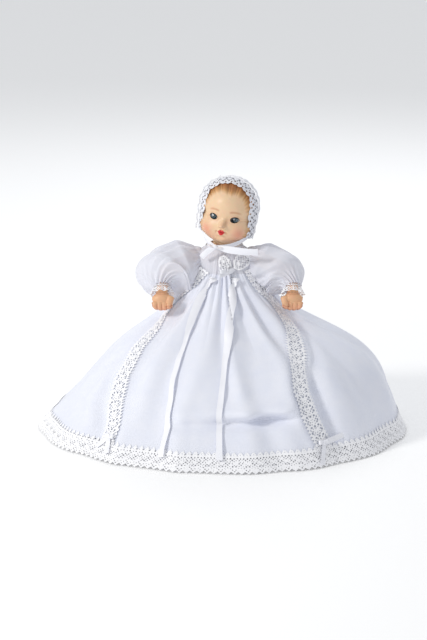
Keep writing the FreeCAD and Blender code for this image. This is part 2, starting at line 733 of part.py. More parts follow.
def hem_point(angle, row, out):
    """A point a step outside the skirt, at one of its rows, in a direction from the doll's axis."""
    height, half, front, back, lean = BELL[row]
    a, b = half + out, (front + back) / 2 + out
    middle = V(lean - size("body_x"), (back - front) / 2, 0)
    way = V(math.sin(math.radians(angle)), -math.cos(math.radians(angle)), 0)
    # the way out from the axis meets the row's ellipse at a distance that solves a quadratic
    p = (way.x / a) ** 2 + (way.y / b) ** 2
    q = -2 * (way.x * middle.x / a ** 2 + way.y * middle.y / b ** 2)
    r = (middle.x / a) ** 2 + (middle.y / b) ** 2 - 1
    t = (-q + math.sqrt(q * q - 4 * p * r)) / (2 * p)
    return doll(way.x * t, way.y * t, height)


def make_hem_bow(label, angle):
    """A ribbon bow that lies on the skirt at the lower end of a lace band."""
    middle = hem_point(angle, 1, 4.2)
    aside = (hem_point(angle + 3, 1, 4.2) - middle).normalize()
    down = (hem_point(angle, 0, 4.2) - middle).normalize()
    normal = down.cross(aside).normalize()
    ends = [middle + aside * 15 + down * 1, middle - aside * 15 + down * 1,
            middle + aside * 10 + down * 20, middle - aside * 10 + down * 20]
    make_bow(label, middle, ends, 7, 3, normal)


def make_bows():
    front = V(0, -1, 0)
    middle = doll(-4, -37.4, 230)
    make_bow("chest_bow", middle, [middle + V(-11, 0, 2.5), middle + V(12, 0, 3.5)], 6, 2.6, front)
    make_hem_bow("left_hem_bow", 35)
    make_hem_bow("right_hem_bow", -41)
    # the bonnet's two ties come down past the jaw to a knot, and one long end lies out to the left
    knot = V(0, -40.5, -6)
    pieces = [ball("chin_knot", "3.4", knot)]
    for side, sign in SIDES:
        pieces.append(ribbon_box(f"tie_{side}", V(sign * 37, -15, 11.2), knot, 7, 0.8,
                                 V(sign * 0.6, -0.4, -0.7)))
    pieces.append(ribbon_box("tie_end_left", knot, V(44, -37, -8), 7, 0.8, front))
    pieces.append(ribbon_box("tie_end_right", knot, V(-20, -37, -9), 7, 0.8, front))
    keep(fuse("chin_ribbon_form", *pieces), "chin_ribbon", HEAD)


def make_bonnet():
    def form(name, grow):
        top = egg(name + "_top", f"bonnet_w + {grow}", f"bonnet_d + {grow}", f"bonnet_h + {grow}",
                  V(0, 5, size("bonnet_z")))
        upper = common(name + "_upper", top, block(name + "_above", V(-90, -90, size("bonnet_z")),
                                                   V(90, 90, 140)))
        rings = []
        for number, (narrow, z) in enumerate(((0, size("bonnet_z")), (1.0, 34), (4.0, size("bonnet_low")))):
            ring = doc.addObject("Part::Ellipse", f"{name}_ring_{number}")
            ring.MajorRadius = size("bonnet_d") + grow - narrow * 1.6
            ring.MinorRadius = size("bonnet_w") + grow - narrow
            ring.Placement = FreeCAD.Placement(V(0, 5, z), FreeCAD.Rotation(AXIS_Z, 90))
            rings.append(ring)
        return fuse(name, upper, loft(name + "_lower", rings))

    shell = cut("bonnet_shell", form("bonnet_out", 0.0), form("bonnet_in", -1.8))
    edge = size("bonnet_edge")
    back = block("bonnet_back", V(-90, edge, -20), V(90, 90, 140))
    keep(common("bonnet_form", shell, back), "bonnet", HEAD)
    brim = block("brim_slab", V(-90, edge - size("gap") - size("brim"), -20),
                 V(90, edge - size("gap"), 140))
    lace = cut("brim_layer", form("brim_out", 0.6), form("brim_in", -0.9))
    keep(common("brim_form", lace, brim), "bonnet_lace", HEAD)


def make_buttons():
    """Three small buttons close the bodice at the back."""
    for number, (z, back) in enumerate(((233, 33.5), (241, 32.9), (249.5, 30.3)), start=1):
        keep(rod(f"button_{number}", "button_r", "button_t", doll(0, back, z), AXIS_Y),
             f"back_button_{number}")


# ---------------------------------------------------------------- build and write

hollow_form = make_head()
make_eyes(hollow_form)
make_eye_weight()
make_neck_button()
make_torso()
make_cross_cord("arm_elastic", 34.05, size("shoulder_z"))
make_cross_cord("leg_elastic", 27.0, size("hip_z"))
make_neck_cord()
for part_side, part_sign in SIDES:
    make_arm(part_side, part_sign)
    make_leg(part_side, part_sign)
    make_sleeve(part_side, part_sign)
make_skirt()
make_trims()
make_bodice()
make_bows()
make_bonnet()
make_buttons()
doc.recompute()

failed = [o.Name for o in doc.Objects if "Invalid" in o.State or "Error" in o.State]
for part in subparts:
    if part.Shape.isNull() or not part.Shape.isValid() or part.Shape.Volume <= 0:
        failed.append(part.Label)
if failed:
    raise RuntimeError(f"these did not build: {failed}")
os.makedirs("parts", exist_ok=True)
for part in subparts:
    part.Shape.exportStep(f"parts/{part.Label}.step")
    solids = part.Shape.Solids
    print(part.Label, len(solids), "solids", round(part.Shape.Volume), "mm3")
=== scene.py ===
import json
import math

import bpy
import numpy as np
from mathutils import Matrix, Vector
from mathutils.bvhtree import BVHTree


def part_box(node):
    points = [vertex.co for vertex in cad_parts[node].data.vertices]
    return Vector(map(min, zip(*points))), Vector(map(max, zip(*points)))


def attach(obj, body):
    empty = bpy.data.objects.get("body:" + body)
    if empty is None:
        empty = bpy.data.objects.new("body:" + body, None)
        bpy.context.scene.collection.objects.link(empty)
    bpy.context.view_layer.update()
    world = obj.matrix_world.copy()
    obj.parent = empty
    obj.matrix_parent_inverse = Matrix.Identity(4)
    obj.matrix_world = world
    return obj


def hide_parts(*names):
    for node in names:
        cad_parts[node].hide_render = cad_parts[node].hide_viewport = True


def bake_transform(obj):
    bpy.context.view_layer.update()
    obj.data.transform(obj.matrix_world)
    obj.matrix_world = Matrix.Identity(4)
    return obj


# A porcelain baby doll in a christening gown. Lengths in the functions below are in
# millimetres and are turned into metres when a mesh is made.
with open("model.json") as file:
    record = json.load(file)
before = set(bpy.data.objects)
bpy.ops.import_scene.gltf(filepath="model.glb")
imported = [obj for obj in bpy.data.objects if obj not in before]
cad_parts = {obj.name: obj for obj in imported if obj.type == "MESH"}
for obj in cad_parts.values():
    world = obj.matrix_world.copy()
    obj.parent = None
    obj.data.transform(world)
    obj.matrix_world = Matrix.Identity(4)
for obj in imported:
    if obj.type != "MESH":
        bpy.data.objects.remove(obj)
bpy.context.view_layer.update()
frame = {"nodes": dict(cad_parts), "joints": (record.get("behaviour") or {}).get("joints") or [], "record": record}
NODES = frame["nodes"]
JOINTS = {j["name"]: j for j in frame["joints"]}
NECK = np.array(JOINTS["neck_nod"]["pos_m"]) * 1000
BX, BY = NECK[0], NECK[1]
WRIST_X = 92.0

# ------------------------------------------------------------------ meshes


def new_object(name, data):
    ob = bpy.data.objects.new(name, data)
    bpy.context.scene.collection.objects.link(ob)
    return ob


def mesh_piece(name, verts, faces, mat, replaced=(), body="body"):
    me = bpy.data.meshes.new(name)
    me.from_pydata((np.asarray(verts, float) / 1000).tolist(), [], [list(map(int, f)) for f in faces])
    me.update()
    ob = new_object(name, me)
    me.polygons.foreach_set("use_smooth", [True] * len(me.polygons))
    me.materials.append(mat)
    if body:
        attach(ob, body)
    if replaced:
        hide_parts(*replaced)
    return ob


def grid_faces(nu, nv, wrap_u=False, keep=None):
    """Quads of a grid of nu by nv vertices, u the slow index."""
    iu = np.arange(nu if wrap_u else nu - 1)
    iv = np.arange(nv - 1)
    a, b = np.meshgrid(iu, iv, indexing="ij")
    c = (a + 1) % nu
    quads = np.stack([a * nv + b, c * nv + b, c * nv + b + 1, a * nv + b + 1], -1)
    if keep is not None:
        return quads[keep]
    return quads.reshape(-1, 4)


def sheet_piece(name, points, mat, replaced=(), body="body", wrap_u=False):
    """A grid of points as one sheet."""
    faces = grid_faces(*points.shape[:2], wrap_u)
    return mesh_piece(name, points.reshape(-1, 3), faces, mat, replaced, body)


def cut_piece(name, points, keep, mat, replaced=(), body="body"):
    """The cells of a grid of points that are kept, as one sheet."""
    quads = grid_faces(*points.shape[:2], keep=keep)
    used, index = np.unique(quads, return_inverse=True)
    return mesh_piece(name, points.reshape(-1, 3)[used], index.reshape(-1, 4), mat, replaced, body)


def points_of(ob):
    return np.array([v.co[:] for v in ob.data.vertices]) * 1000


def set_points(ob, points):
    ob.data.vertices.foreach_set("co", (points / 1000).astype(np.float32).ravel())


def smoothstep(a, b, x):
    t = np.clip((x - a) / (b - a), 0, 1)
    return t * t * (3 - 2 * t)


def hump(x, middle, width):
    return np.exp(-(((x - middle) / width) ** 2))


def gauss(x, y, cx, cy, sx, sy):
    return np.exp(-(((x - cx) / sx) ** 2) - ((y - cy) / sy) ** 2)


# ------------------------------------------------------------------ materials


def new_material(name):
    mat = bpy.data.materials.new(name)
    mat.use_nodes = True
    return mat, mat.node_tree, mat.node_tree.nodes["Principled BSDF"]


def settle(node, **inputs):
    """Sets a node's inputs by name, an underscore standing for a space."""
    for key, value in inputs.items():
        node.inputs[key.replace("_", " ")].default_value = value


def add(tree, kind, **inputs):
    node = tree.nodes.new(kind)
    settle(node, **inputs)
    return node


def noise(tree, **inputs):
    """A noise texture on the piece's own coordinates."""
    node = add(tree, "ShaderNodeTexNoise", **inputs)
    tree.links.new(tree.nodes.new("ShaderNodeTexCoord").outputs["Object"], node.inputs["Vector"])
    return node


def attribute(tree, name):
    node = tree.nodes.new("ShaderNodeAttribute")
    node.attribute_name = name
    return node.outputs


def color_mix(tree, a, b, factor, way="MIX"):
    """Two colours, or the sockets that give them, mixed by a number or a socket."""
    mix = tree.nodes.new("ShaderNodeMix")
    mix.data_type = "RGBA"
    mix.blend_type = way
    for name, value in (("Factor", factor), ("A", a), ("B", b)):
        if isinstance(value, bpy.types.NodeSocket):
            tree.links.new(value, mix.inputs[name])
        else:
            mix.inputs[name].default_value = value
    return mix.outputs["Result"]


def relief(tree, bsdf, height, strength, distance):
    bump = add(tree, "ShaderNodeBump", Strength=strength, Distance=distance)
    tree.links.new(height, bump.inputs["Height"])
    tree.links.new(bump.outputs["Normal"], bsdf.inputs["Normal"])


def cloth_material(name, light, shade, thread, rough=0.75, sheen=0.35, alpha=1.0, bump=0.12, patch=0.02):
    """Woven cloth: two crossed thread waves as relief, and a soft drift between two near whites."""
    mat, tree, bsdf = new_material(name)
    drift = noise(tree, Scale=1 / patch, Detail=4.0, Roughness=0.55).outputs["Fac"]
    tree.links.new(color_mix(tree, (*light, 1), (*shade, 1), drift), bsdf.inputs["Base Color"])
    both = tree.nodes.new("ShaderNodeMath")
    both.operation = "ADD"
    coords = tree.nodes.new("ShaderNodeTexCoord")
    for k, direction in enumerate("XZ"):
        wave = add(tree, "ShaderNodeTexWave", Scale=0.5 / thread, Distortion=0.6)
        wave.bands_direction = direction
        tree.links.new(coords.outputs["Object"], wave.inputs["Vector"])
        tree.links.new(wave.outputs["Fac"], both.inputs[k])
    relief(tree, bsdf, both.outputs[0], bump, 0.0004)
    settle(bsdf, Roughness=rough, Sheen_Weight=sheen, Sheen_Roughness=0.4, Specular_IOR_Level=0.25,
           Alpha=alpha)
    return mat


def painted_material(name):
    """Glazed and painted porcelain: the paint is the mesh's own colour attribute, slightly mottled."""
    mat, tree, bsdf = new_material(name)
    mottling = noise(tree, Scale=140.0, Detail=5.0).outputs
    color = color_mix(tree, attribute(tree, "paint")["Color"], mottling["Color"], 0.12, "MULTIPLY")
    tree.links.new(color, bsdf.inputs["Base Color"])
    relief(tree, bsdf, mottling["Fac"], 0.05, 0.0004)
    settle(bsdf, Roughness=0.48, Coat_Weight=0.14, Coat_Roughness=0.3, Subsurface_Weight=0.08,
           Subsurface_Radius=(0.004, 0.002, 0.001))
    return mat


def hard_material(name, color, rough, metallic=0.0, scale=200.0, contrast=0.15, bump=0.1):
    mat, tree, bsdf = new_material(name)
    grain = noise(tree, Scale=scale, Detail=6.0).outputs["Fac"]
    dark, light = [(*[min(1, c * share) for c in color], 1) for share in (1 - contrast, 1 + contrast)]
    tree.links.new(color_mix(tree, dark, light, grain), bsdf.inputs["Base Color"])
    relief(tree, bsdf, grain, bump, 0.0003)
    settle(bsdf, Roughness=rough, Metallic=metallic)
    return mat


ORGANZA = cloth_material("organza", (0.86, 0.87, 0.93), (0.76, 0.79, 0.90), 0.00045)
# a darker copy of the organza: painted shade for the cloth seen through the let-in lace
ORGANZA_IN_PAINTED_SHADE = cloth_material("organza_painted_shade", (0.74, 0.76, 0.83), (0.66, 0.69, 0.78), 0.00045)
SHADE = cloth_material("lining_in_shade", (0.55, 0.56, 0.60), (0.46, 0.47, 0.52), 0.0005)
SHEER = cloth_material("organza_sheer", (0.88, 0.88, 0.93), (0.78, 0.80, 0.90), 0.00045, alpha=0.82)
COTTON = cloth_material("cotton", (0.86, 0.86, 0.90), (0.80, 0.81, 0.87), 0.0005, bump=0.25)
LACE = cloth_material("lace", (0.99, 0.99, 1.0), (0.93, 0.93, 0.97), 0.0003, rough=0.9, sheen=0.0,
                      bump=0.15, patch=0.004)
SATIN = cloth_material("satin", (0.93, 0.93, 0.97), (0.86, 0.87, 0.93), 0.0002, rough=0.32, sheen=0.1,
                       bump=0.05)
PORCELAIN = painted_material("painted_porcelain")
BISQUE = hard_material("bisque", (0.86, 0.58, 0.42), 0.3, scale=90, contrast=0.05, bump=0.03)
STEEL = hard_material("steel_wire", (0.5, 0.5, 0.52), 0.35, 1.0)
LEAD = hard_material("lead", (0.20, 0.21, 0.23), 0.6, 0.8)
PLASTER = hard_material("plaster", (0.85, 0.83, 0.79), 0.9)
WOOD = hard_material("turned_wood", (0.52, 0.36, 0.2), 0.5)
FIBRE = hard_material("fibre", (0.3, 0.2, 0.13), 0.8)
CORD = cloth_material("elastic", (0.8, 0.78, 0.7), (0.7, 0.68, 0.6), 0.0006, bump=0.6)
PEARL = hard_material("pearl", (0.9, 0.88, 0.86), 0.15, contrast=0.04, bump=0.02)
LASH = hard_material("lash", (0.035, 0.02, 0.015), 0.5)

BY_SLOT = {"bisque": BISQUE, "steel_wire": STEEL, "lead": LEAD, "plaster": PLASTER, "turned_wood": WOOD,
           "fibre_washer": FIBRE, "elastic": CORD, "button": PEARL, "organza": ORGANZA, "cotton": COTTON,
           "lace": LACE, "ribbon": SATIN}
for part in frame["record"]["subparts"]:
    if part["material_slot"] in BY_SLOT:
        NODES[part["node"]].data.materials.clear()
        NODES[part["node"]].data.materials.append(BY_SLOT[part["material_slot"]])

# ------------------------------------------------------------------ the gown's surface

SKIRTS = ["skirt_front_panel", "skirt_left_panel", "skirt_right_panel", "skirt_back_left_panel",
          "skirt_back_right_panel"]
SEAM_Z = max(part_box(n)[1].z for n in SKIRTS) * 1000
NECK_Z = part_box("bodice")[1].z * 1000
STEP_Z = 2.0
ROWS = int(NECK_Z / STEP_Z) + 2
THETAS = np.arange(-180, 181, 1.0)


def measure_radius():
    """The distance from the doll's axis to the outside of the CAD gown, by angle and height."""
    verts, faces = [], []
    for name in SKIRTS:
        me = NODES[name].data
        base = len(verts)
        verts += [v.co[:] for v in me.vertices]
        faces += [[base + i for i in p.vertices] for p in me.polygons]
    tree = BVHTree.FromPolygons(verts, faces)
    table = np.zeros((len(THETAS), ROWS))
    for i, theta in enumerate(THETAS):
        way = Vector((math.sin(math.radians(theta)), -math.cos(math.radians(theta)), 0))
        for k in range(ROWS):
            z = min(max(k * STEP_Z, 0.5), SEAM_Z - 0.5)
            start = Vector((BX / 1000, BY / 1000, z / 1000)) + way * 0.6
            hit = tree.ray_cast(start, -way)[0]
            if hit is None:
                table[i, k] = np.nan
            else:
                table[i, k] = ((hit.x - BX / 1000) ** 2 + (hit.y - BY / 1000) ** 2) ** 0.5 * 1000
        bad = np.isnan(table[i])
        table[i, bad] = np.interp(np.flatnonzero(bad), np.flatnonzero(~bad), table[i, ~bad])
    # above the seam the bodice narrows to the neck
    rows = np.arange(ROWS) * STEP_Z
    half = np.interp(rows, [SEAM_Z, 240, 250, NECK_Z], [46, 45, 40, 26.6])
    deep = np.interp(rows, [SEAM_Z, 240, 250, NECK_Z], [33, 31.5, 28, 24])
    for i, theta in enumerate(THETAS):
        t = math.radians(theta)
        ellipse = 1 / np.sqrt((math.sin(t) / half) ** 2 + (math.cos(t) / deep) ** 2)
        table[i] = np.where(rows > SEAM_Z, ellipse, table[i])
    for _ in range(3):
        table[:, 1:-1] = (table[:, :-2] + 2 * table[:, 1:-1] + table[:, 2:]) / 4
    # a ray can slip through the seam between two panels, so each angle takes the middle of three
    table = np.median([np.roll(table, 1, 0), table, np.roll(table, -1, 0)], axis=0)
    table[-1] = table[0] = table[1]
    return table


RADIUS = measure_radius()
# Soft folds that run down the skirt: angle, width in degrees and height, the valleys below zero.
FOLDS = [(-40, 5, 6), (-27, 6, -5), (-15, 5, 5), (-4, 5, -4), (7, 5, 5), (17, 5, -5), (27, 5, 6.5),
         (37, 5, -7), (50, 7, 6), (62, 6, -6), (74, 6, 5), (-50, 5, -7), (-61, 7, 6), (-73, 6, -6), (-85, 7, 5)]
FOLDS += [(k, 7, 5 if n % 2 else -6) for n, k in enumerate(range(88, 272, 13))]


def wrap(theta):
    return (theta + 180) % 360 - 180


def base_radius(theta, z):
    t = (wrap(theta) + 180) % 360
    i = np.clip(t.astype(int), 0, 359)
    f = t - i
    k = np.clip(z / STEP_Z, 0, ROWS - 1.001)
    j = k.astype(int)
    g = k - j
    a = RADIUS[i, j] * (1 - f) + RADIUS[i + 1, j] * f
    b = RADIUS[i, j + 1] * (1 - f) + RADIUS[i + 1, j + 1] * f
    return a * (1 - g) + b * g


def folds(theta, z):
    """How far the cloth stands off the plain bell, in millimetres: pleats at the yoke, soft folds below."""
    t = np.radians(theta)
    total = np.zeros_like(t + z)
    grow = smoothstep(232, 150, z) * (0.75 + 0.25 * smoothstep(20, 90, z))
    for k, (middle, width, height) in enumerate(FOLDS):
        path = middle + 3.0 * np.sin(z / 38.0 + 1.7 * k) * smoothstep(215, 120, z)
        spread = width * (1.0 + 0.25 * np.sin(z / 55.0 + 2.3 * k))
        total += height * grow * hump(wrap(theta - path), 0, spread)
    gathers = np.abs(np.sin(14 * t + 0.9 * np.sin(5 * t) + z / 160.0)) ** 1.2 - 0.5
    fine = np.abs(np.sin(37 * t + 1.3 * np.sin(5 * t))) ** 1.4 - 0.5
    total += 4.2 * gathers * smoothstep(110, 205, z) * smoothstep(240, 222, z)
    yoke = smoothstep(190, 222, z) * smoothstep(262, 250, z)
    total += fine * (1.0 - 0.5 * smoothstep(226, 232, z)) * yoke
    total += 1.2 * gathers * smoothstep(228, 236, z) * smoothstep(262, 252, z)
    # the front breaks in a deep fold low down, where it lies over the feet
    x = base_radius(theta, z) * np.sin(t)
    front = (np.cos(t) > 0) * smoothstep(-85, -60, x) * smoothstep(105, 75, x)
    front = front * (0.35 + 0.9 * smoothstep(-40, 50, x))
    sag = 0.06 * x
    total += front * (8 * hump(z, 72 + sag, 9) - 12 * hump(z, 55 + sag, 6.5))
    # the cloth beside each lace band sinks, so the front panel stands proud of the sides
    for side in ("left", "right"):
        off = band_offset(side, theta, z)[0]
        total *= (1 - 0.75 * np.exp(-((off / 15) ** 4)))
        total -= 8 * hump(off, 27, 9) * smoothstep(215, 150, z) * smoothstep(0, 60, z)
        total += 3.5 * hump(off, -14, 12) * smoothstep(215, 150, z)
    low = smoothstep(30, 0, z)
    # the hem trails out further at the doll's right
    trail = 12 * hump(wrap(theta + 82), 0, 24) * smoothstep(55, 0, z)
    return total * (1 - 0.35 * low) + trail


def band_offset(side, theta, z):
    """The distance from a lace band's middle, away from the front panel, and its share of full width."""
    zz = np.clip(z, 0, 232)
    mid = np.interp(zz, BAND_Z, BAND_THETA[side])
    off = wrap(theta - mid) * np.radians(1) * base_radius(theta, z) * (1 if side == "left" else -1)
    return off * np.interp(zz, BAND_Z, BAND_TILT[side]), 1.0 - 0.42 * smoothstep(-60, 292, zz)


def gown(theta, z, lift=0.0):
    """Points on the gown, a step outside its cloth."""
    theta, z = np.broadcast_arrays(np.asarray(theta, float), np.asarray(z, float))

    def at(th, zz):
        r = base_radius(th, zz) + folds(th, zz)
        a = np.radians(th)
        return np.stack([BX + r * np.sin(a), BY - r * np.cos(a), zz], -1)

    p = at(theta, z)
    if np.any(np.asarray(lift) != 0):
        du = at(theta + 0.25, z) - at(theta - 0.25, z)
        dv = at(theta, z + 0.5) - at(theta, z - 0.5)
        n = np.cross(du, dv)
        n /= np.linalg.norm(n, axis=-1, keepdims=True) + 1e-9
        p = p + n * np.asarray(lift)[..., None]
    return p


BAND_RUN = {
    "left": [(29, 232), (33, 222), (41, 208), (61, 188), (77, 170), (87, 156), (94, 134), (95, 118), (98, 92),
             (111, 60), (131, 23), (138, 0)],
    "right": [(-30, 232), (-38, 222), (-52, 207), (-74, 182), (-99, 152), (-124, 128), (-146, 94), (-155, 65),
              (-156, 39), (-165, 6), (-167, 0)],
}
STREAMER_RUN = {
    "left": [(10, 222), (6, 196), (3, 170), (1, 148), (-5, 113), (-12, 66), (-11, 14)],
    "right": [(-18, 222), (-36, 198), (-48, 174), (-55, 158), (-73, 107), (-82, 45), (-90, 14)],
}
BAND_Z = np.arange(0, 233, 2.0)
BAND_THETA, BAND_TILT = {}, {}


def theta_of(x, z):
    """The angle at which the plain gown's front reaches a given x."""
    th = np.arange(-86, 86.5, 0.5)
    xs = BX + base_radius(th, np.full_like(th, z)) * np.sin(np.radians(th))
    return float(np.interp(x, xs, th))


for side, run in BAND_RUN.items():
    pts = sorted(run, key=lambda p: p[1])
    xs = np.interp(BAND_Z, [p[1] for p in pts], [p[0] for p in pts])
    raw = np.array([theta_of(x, z) for x, z in zip(xs, BAND_Z)])
    for _ in range(12):
        raw[1:-1] = (raw[:-2] + 2 * raw[1:-1] + raw[2:]) / 4
    BAND_THETA[side] = raw
    reach = base_radius(raw, BAND_Z)
    path = np.hypot(np.gradient(BAND_Z), np.gradient(reach))
    BAND_TILT[side] = 1 / np.hypot(1, np.gradient(np.radians(raw)) * reach / path)


def track(run, step=1.0):
    """A run of (x, z) points as evenly spaced (theta, z) down the gown, with the length along it."""
    pts = sorted(run, key=lambda p: p[1])
    z = np.arange(pts[0][1], pts[-1][1], 1.0)
    x = np.interp(z, [p[1] for p in pts], [p[0] for p in pts])
    th = np.array([theta_of(a, b) for a, b in zip(x, z)])
    for _ in range(16):
        th[1:-1] = (th[:-2] + 2 * th[1:-1] + th[2:]) / 4
    p = gown(th, z)
    s = np.concatenate([[0], np.cumsum(np.linalg.norm(np.diff(p, axis=0), axis=1))])
    even = np.arange(0, s[-1], step)
    return np.interp(even, s, th), np.interp(even, s, z), even[-1]


def along_track(th, z, step=1.0):
    """A mapping from (length along a track, distance across it) to points on the gown."""
    r = base_radius(th, z)
    across = np.gradient(np.radians(th)) * r
    slope = np.gradient(z)
    rise = np.gradient(r)
    down = np.hypot(slope, rise)
    norm = np.hypot(across, down) + 1e-9
    to_side, to_down = down / norm, -across / norm

    def surface(u, v, lift):
        k = u / step
        i = np.arange(len(th))
        tt, zz = np.interp(k, i, th), np.interp(k, i, z)
        rr = np.interp(k, i, r)
        a, b = np.interp(k, i, to_side), np.interp(k, i, to_down)
        fall = np.interp(k, i, slope / (down + 1e-9))
        return gown(tt + np.degrees(v * a / rr), np.maximum(zz + v * b * fall, 0.3), lift)

    return surface


# ------------------------------------------------------------------ lace

def disc(u, v, x, y, r):
    return r - np.hypot(u - x, v - y)


def ring(u, v, x, y, r, w):
    return w / 2 - np.abs(np.hypot(u - x, v - y) - r)


def net(u, v, cell, thread):
    a = np.abs(((u + v) / 1.4142) % cell - cell / 2)
    b = np.abs(((u - v) / 1.4142) % cell - cell / 2)
    return np.maximum(thread / 2 - a, thread / 2 - b)


def flower(u, v, x, y, size, petals=6):
    parts = [ring(u, v, x, y, size * 0.30, size * 0.24)]
    for k in range(petals):
        a = 6.2832 * k / petals + 0.5
        px, py = x + size * 0.68 * math.cos(a), y + size * 0.68 * math.sin(a)
        parts.append(ring(u, v, px, py, size * 0.32, size * 0.22))
    return np.maximum.reduce(parts)


def period(u, p, shift=0.0):
    return (u + shift * p + p / 2) % p - p / 2


def hem_pattern(u, v):
    """Deep lace: flowers in a net, pointed scallops below and a row of pointed loops above."""
    x, xs = period(u, 18), period(u, 18, 0.5)
    xt = period(u, 9)
    low = 0.5 + 3.4 * (np.abs(xt) / 4.5) ** 1.2
    top = 33.4 - 6.5 * (np.abs(xt) / 4.5)
    parts = [flower(x, v, 0, 10.2, 5.6), flower(xs, v, 0, 19.0, 5.0), flower(xs, v, 0, 8.0, 3.2, 5),
             flower(x, v, 0, 20.2, 3.4, 5), net(u, v, 3.2, 1.3), 1.2 - np.abs(v - low - 1.2),
             0.9 - np.abs(v - 25.0), 0.6 - np.abs(v - top + 0.7), ring(xt, v, 0, 28.2, 1.5, 1.3)]
    return np.minimum(np.maximum.reduce(parts), np.minimum(v - low, top - v))


def band_pattern(u, v):
    """Insertion lace: two firm edges with small scallops, and slanting leaves between them in a net."""
    x, xs = period(u, 15), period(u, 15, 0.5)
    edge = 10.6 + 1.3 * np.cos(u * 6.2832 / 5)
    leaf = lambda cx, cy, a: 0.65 - np.abs(np.hypot((cx * math.cos(a) + cy * math.sin(a)) / 2.1,
                                                    -cx * math.sin(a) + cy * math.cos(a)) - 2.0)
    parts = [flower(x, v, 0, 0, 5.0), leaf(xs, v - 4.6, 0.5), leaf(xs, v + 4.6, -0.5), net(u, v, 3.4, 0.9),
             1.0 - np.abs(np.abs(v) - 9.0), 0.6 - np.abs(np.abs(v) - edge + 0.6)]
    return np.minimum(np.maximum.reduce(parts), edge - np.abs(v))


def edging_pattern(u, v, depth, p=8.0):
    """Narrow edging: one row of round eyelets inside a scalloped edge. v is 0 at the free edge."""
    x = period(u, p)
    low = 0.3 + 2.0 * (np.abs(x) / (p / 2)) ** 2
    parts = [0.8 - np.abs(v - low - 0.8), ring(x, v, 0, depth * 0.45, p * 0.25, 1.1), net(u, v, 2.2, 0.65),
             0.8 - np.abs(v - depth + 1.0)]
    return np.minimum(np.maximum.reduce(parts), np.minimum(v - low, depth - v))


def eyelet_pattern(u, v, depth):
    """Broderie: whole cloth with small round eyelets in groups, and a scalloped edge at v = 0."""
    x, xs = period(u, 9), period(u, 9, 0.5)
    low = 0.2 + 1.8 * (np.abs(x) / 4.5) ** 2
    holes = [disc(xs, v, 0, 4.2, 1.1), disc(x, v, 0, 7.2, 1.5), disc(x, v, -2.6, 9.8, 1.0),
             disc(x, v, 2.6, 9.8, 1.0), disc(xs, v, 0, 12.8, 1.5), disc(x, v, 0, 15.6, 1.1)]
    solid = -np.maximum.reduce(holes)
    return np.minimum(solid, np.minimum(v - low, depth - v))


def lace(name, surface, u_range, v_range, pattern, cell, lift, mat=LACE, body="body", replaced=()):
    """Lace as a sheet with real holes: grid cells outside the thread are left out, and edges are snapped."""
    u = np.linspace(*u_range, int((u_range[1] - u_range[0]) / cell) + 1)
    v = np.linspace(*v_range, int((v_range[1] - v_range[0]) / cell) + 1)
    U, V = np.meshgrid(u, v, indexing="ij")
    F = pattern(U, V)
    e = 0.05
    gu = (pattern(U + e, V) - pattern(U - e, V)) / (2 * e)
    gv = (pattern(U, V + e) - pattern(U, V - e)) / (2 * e)
    g2 = gu**2 + gv**2 + 1e-6
    near = np.abs(F) < 0.55 * cell * np.sqrt(g2)
    su = np.where(near, np.clip(-F * gu / g2, -0.5 * cell, 0.5 * cell), 0)
    sv = np.where(near, np.clip(-F * gv / g2, -0.5 * cell, 0.5 * cell), 0)
    solid = (F > -0.35 * cell).astype(int)
    keep = (solid[:-1, :-1] + solid[1:, :-1] + solid[1:, 1:] + solid[:-1, 1:]) == 4
    points = surface(U + su, V + sv, lift + 0.22 * np.clip(F, 0, 0.8))
    return cut_piece(name, points, keep, mat, replaced, body)


def ribbon(name, surface, length, width, lift, wave, replaced):
    """A satin ribbon that follows a surface, with a little air and curl under it."""
    u = np.linspace(0, length, max(8, int(length / 1.5)))
    v = np.linspace(-width / 2, width / 2, 7)
    U, V = np.meshgrid(u, v, indexing="ij")
    curl = wave * (0.6 + 0.5 * np.sin(u / 17.0 + 1) + 0.5 * np.sin(u / 7.3))[:, None]
    tilt = 0.35 * np.sin(u / 13.0)[:, None] * V / width * wave
    P = surface(U, V, lift + np.maximum(curl + tilt, 0.0))
    return sheet_piece(name, P, SATIN, replaced)


# ------------------------------------------------------------------ gown pieces

LACE_TOP = 24.0


def gown_panels():
    """The five skirt panels, cut along the lace bands and at the back, from one fine surface."""
    th = np.linspace(-180, 180, 1441)
    z = np.concatenate([np.linspace(LACE_TOP - 3, 200, 150), np.linspace(201.5, SEAM_Z, 22)])
    T, Z = np.meshgrid(th, z, indexing="ij")
    P = gown(T, Z)
    mid_t, mid_z = np.meshgrid((th[:-1] + th[1:]) / 2, (z[:-1] + z[1:]) / 2, indexing="ij")
    left = np.interp(mid_z, BAND_Z, BAND_THETA["left"])
    right = np.interp(mid_z, BAND_Z, BAND_THETA["right"])
    regions = {
        "skirt_front_panel": (mid_t > right) & (mid_t <= left),
        "skirt_left_panel": (mid_t > left) & (mid_t <= 112),
        "skirt_back_left_panel": mid_t > 112,
        "skirt_back_right_panel": mid_t <= -112,
        "skirt_right_panel": (mid_t > -112) & (mid_t <= right),
    }
    # behind the let-in lace the panel's cloth takes a darker copy of the organza, painted shade
    whole = np.ones(mid_t.shape, bool)
    for side in ("left", "right"):
        off, narrow = band_offset(side, mid_t, mid_z)
        whole &= np.abs(off) > 13.5 * narrow
    made = []
    for name, keep in regions.items():
        panel = cut_piece("gown_" + name[6:], P, keep, ORGANZA, (name,))
        panel.data.materials.append(ORGANZA_IN_PAINTED_SHADE)
        panel.data.polygons.foreach_set("material_index", (~whole[keep]).astype(np.int32))
        made.append(panel)
    return made


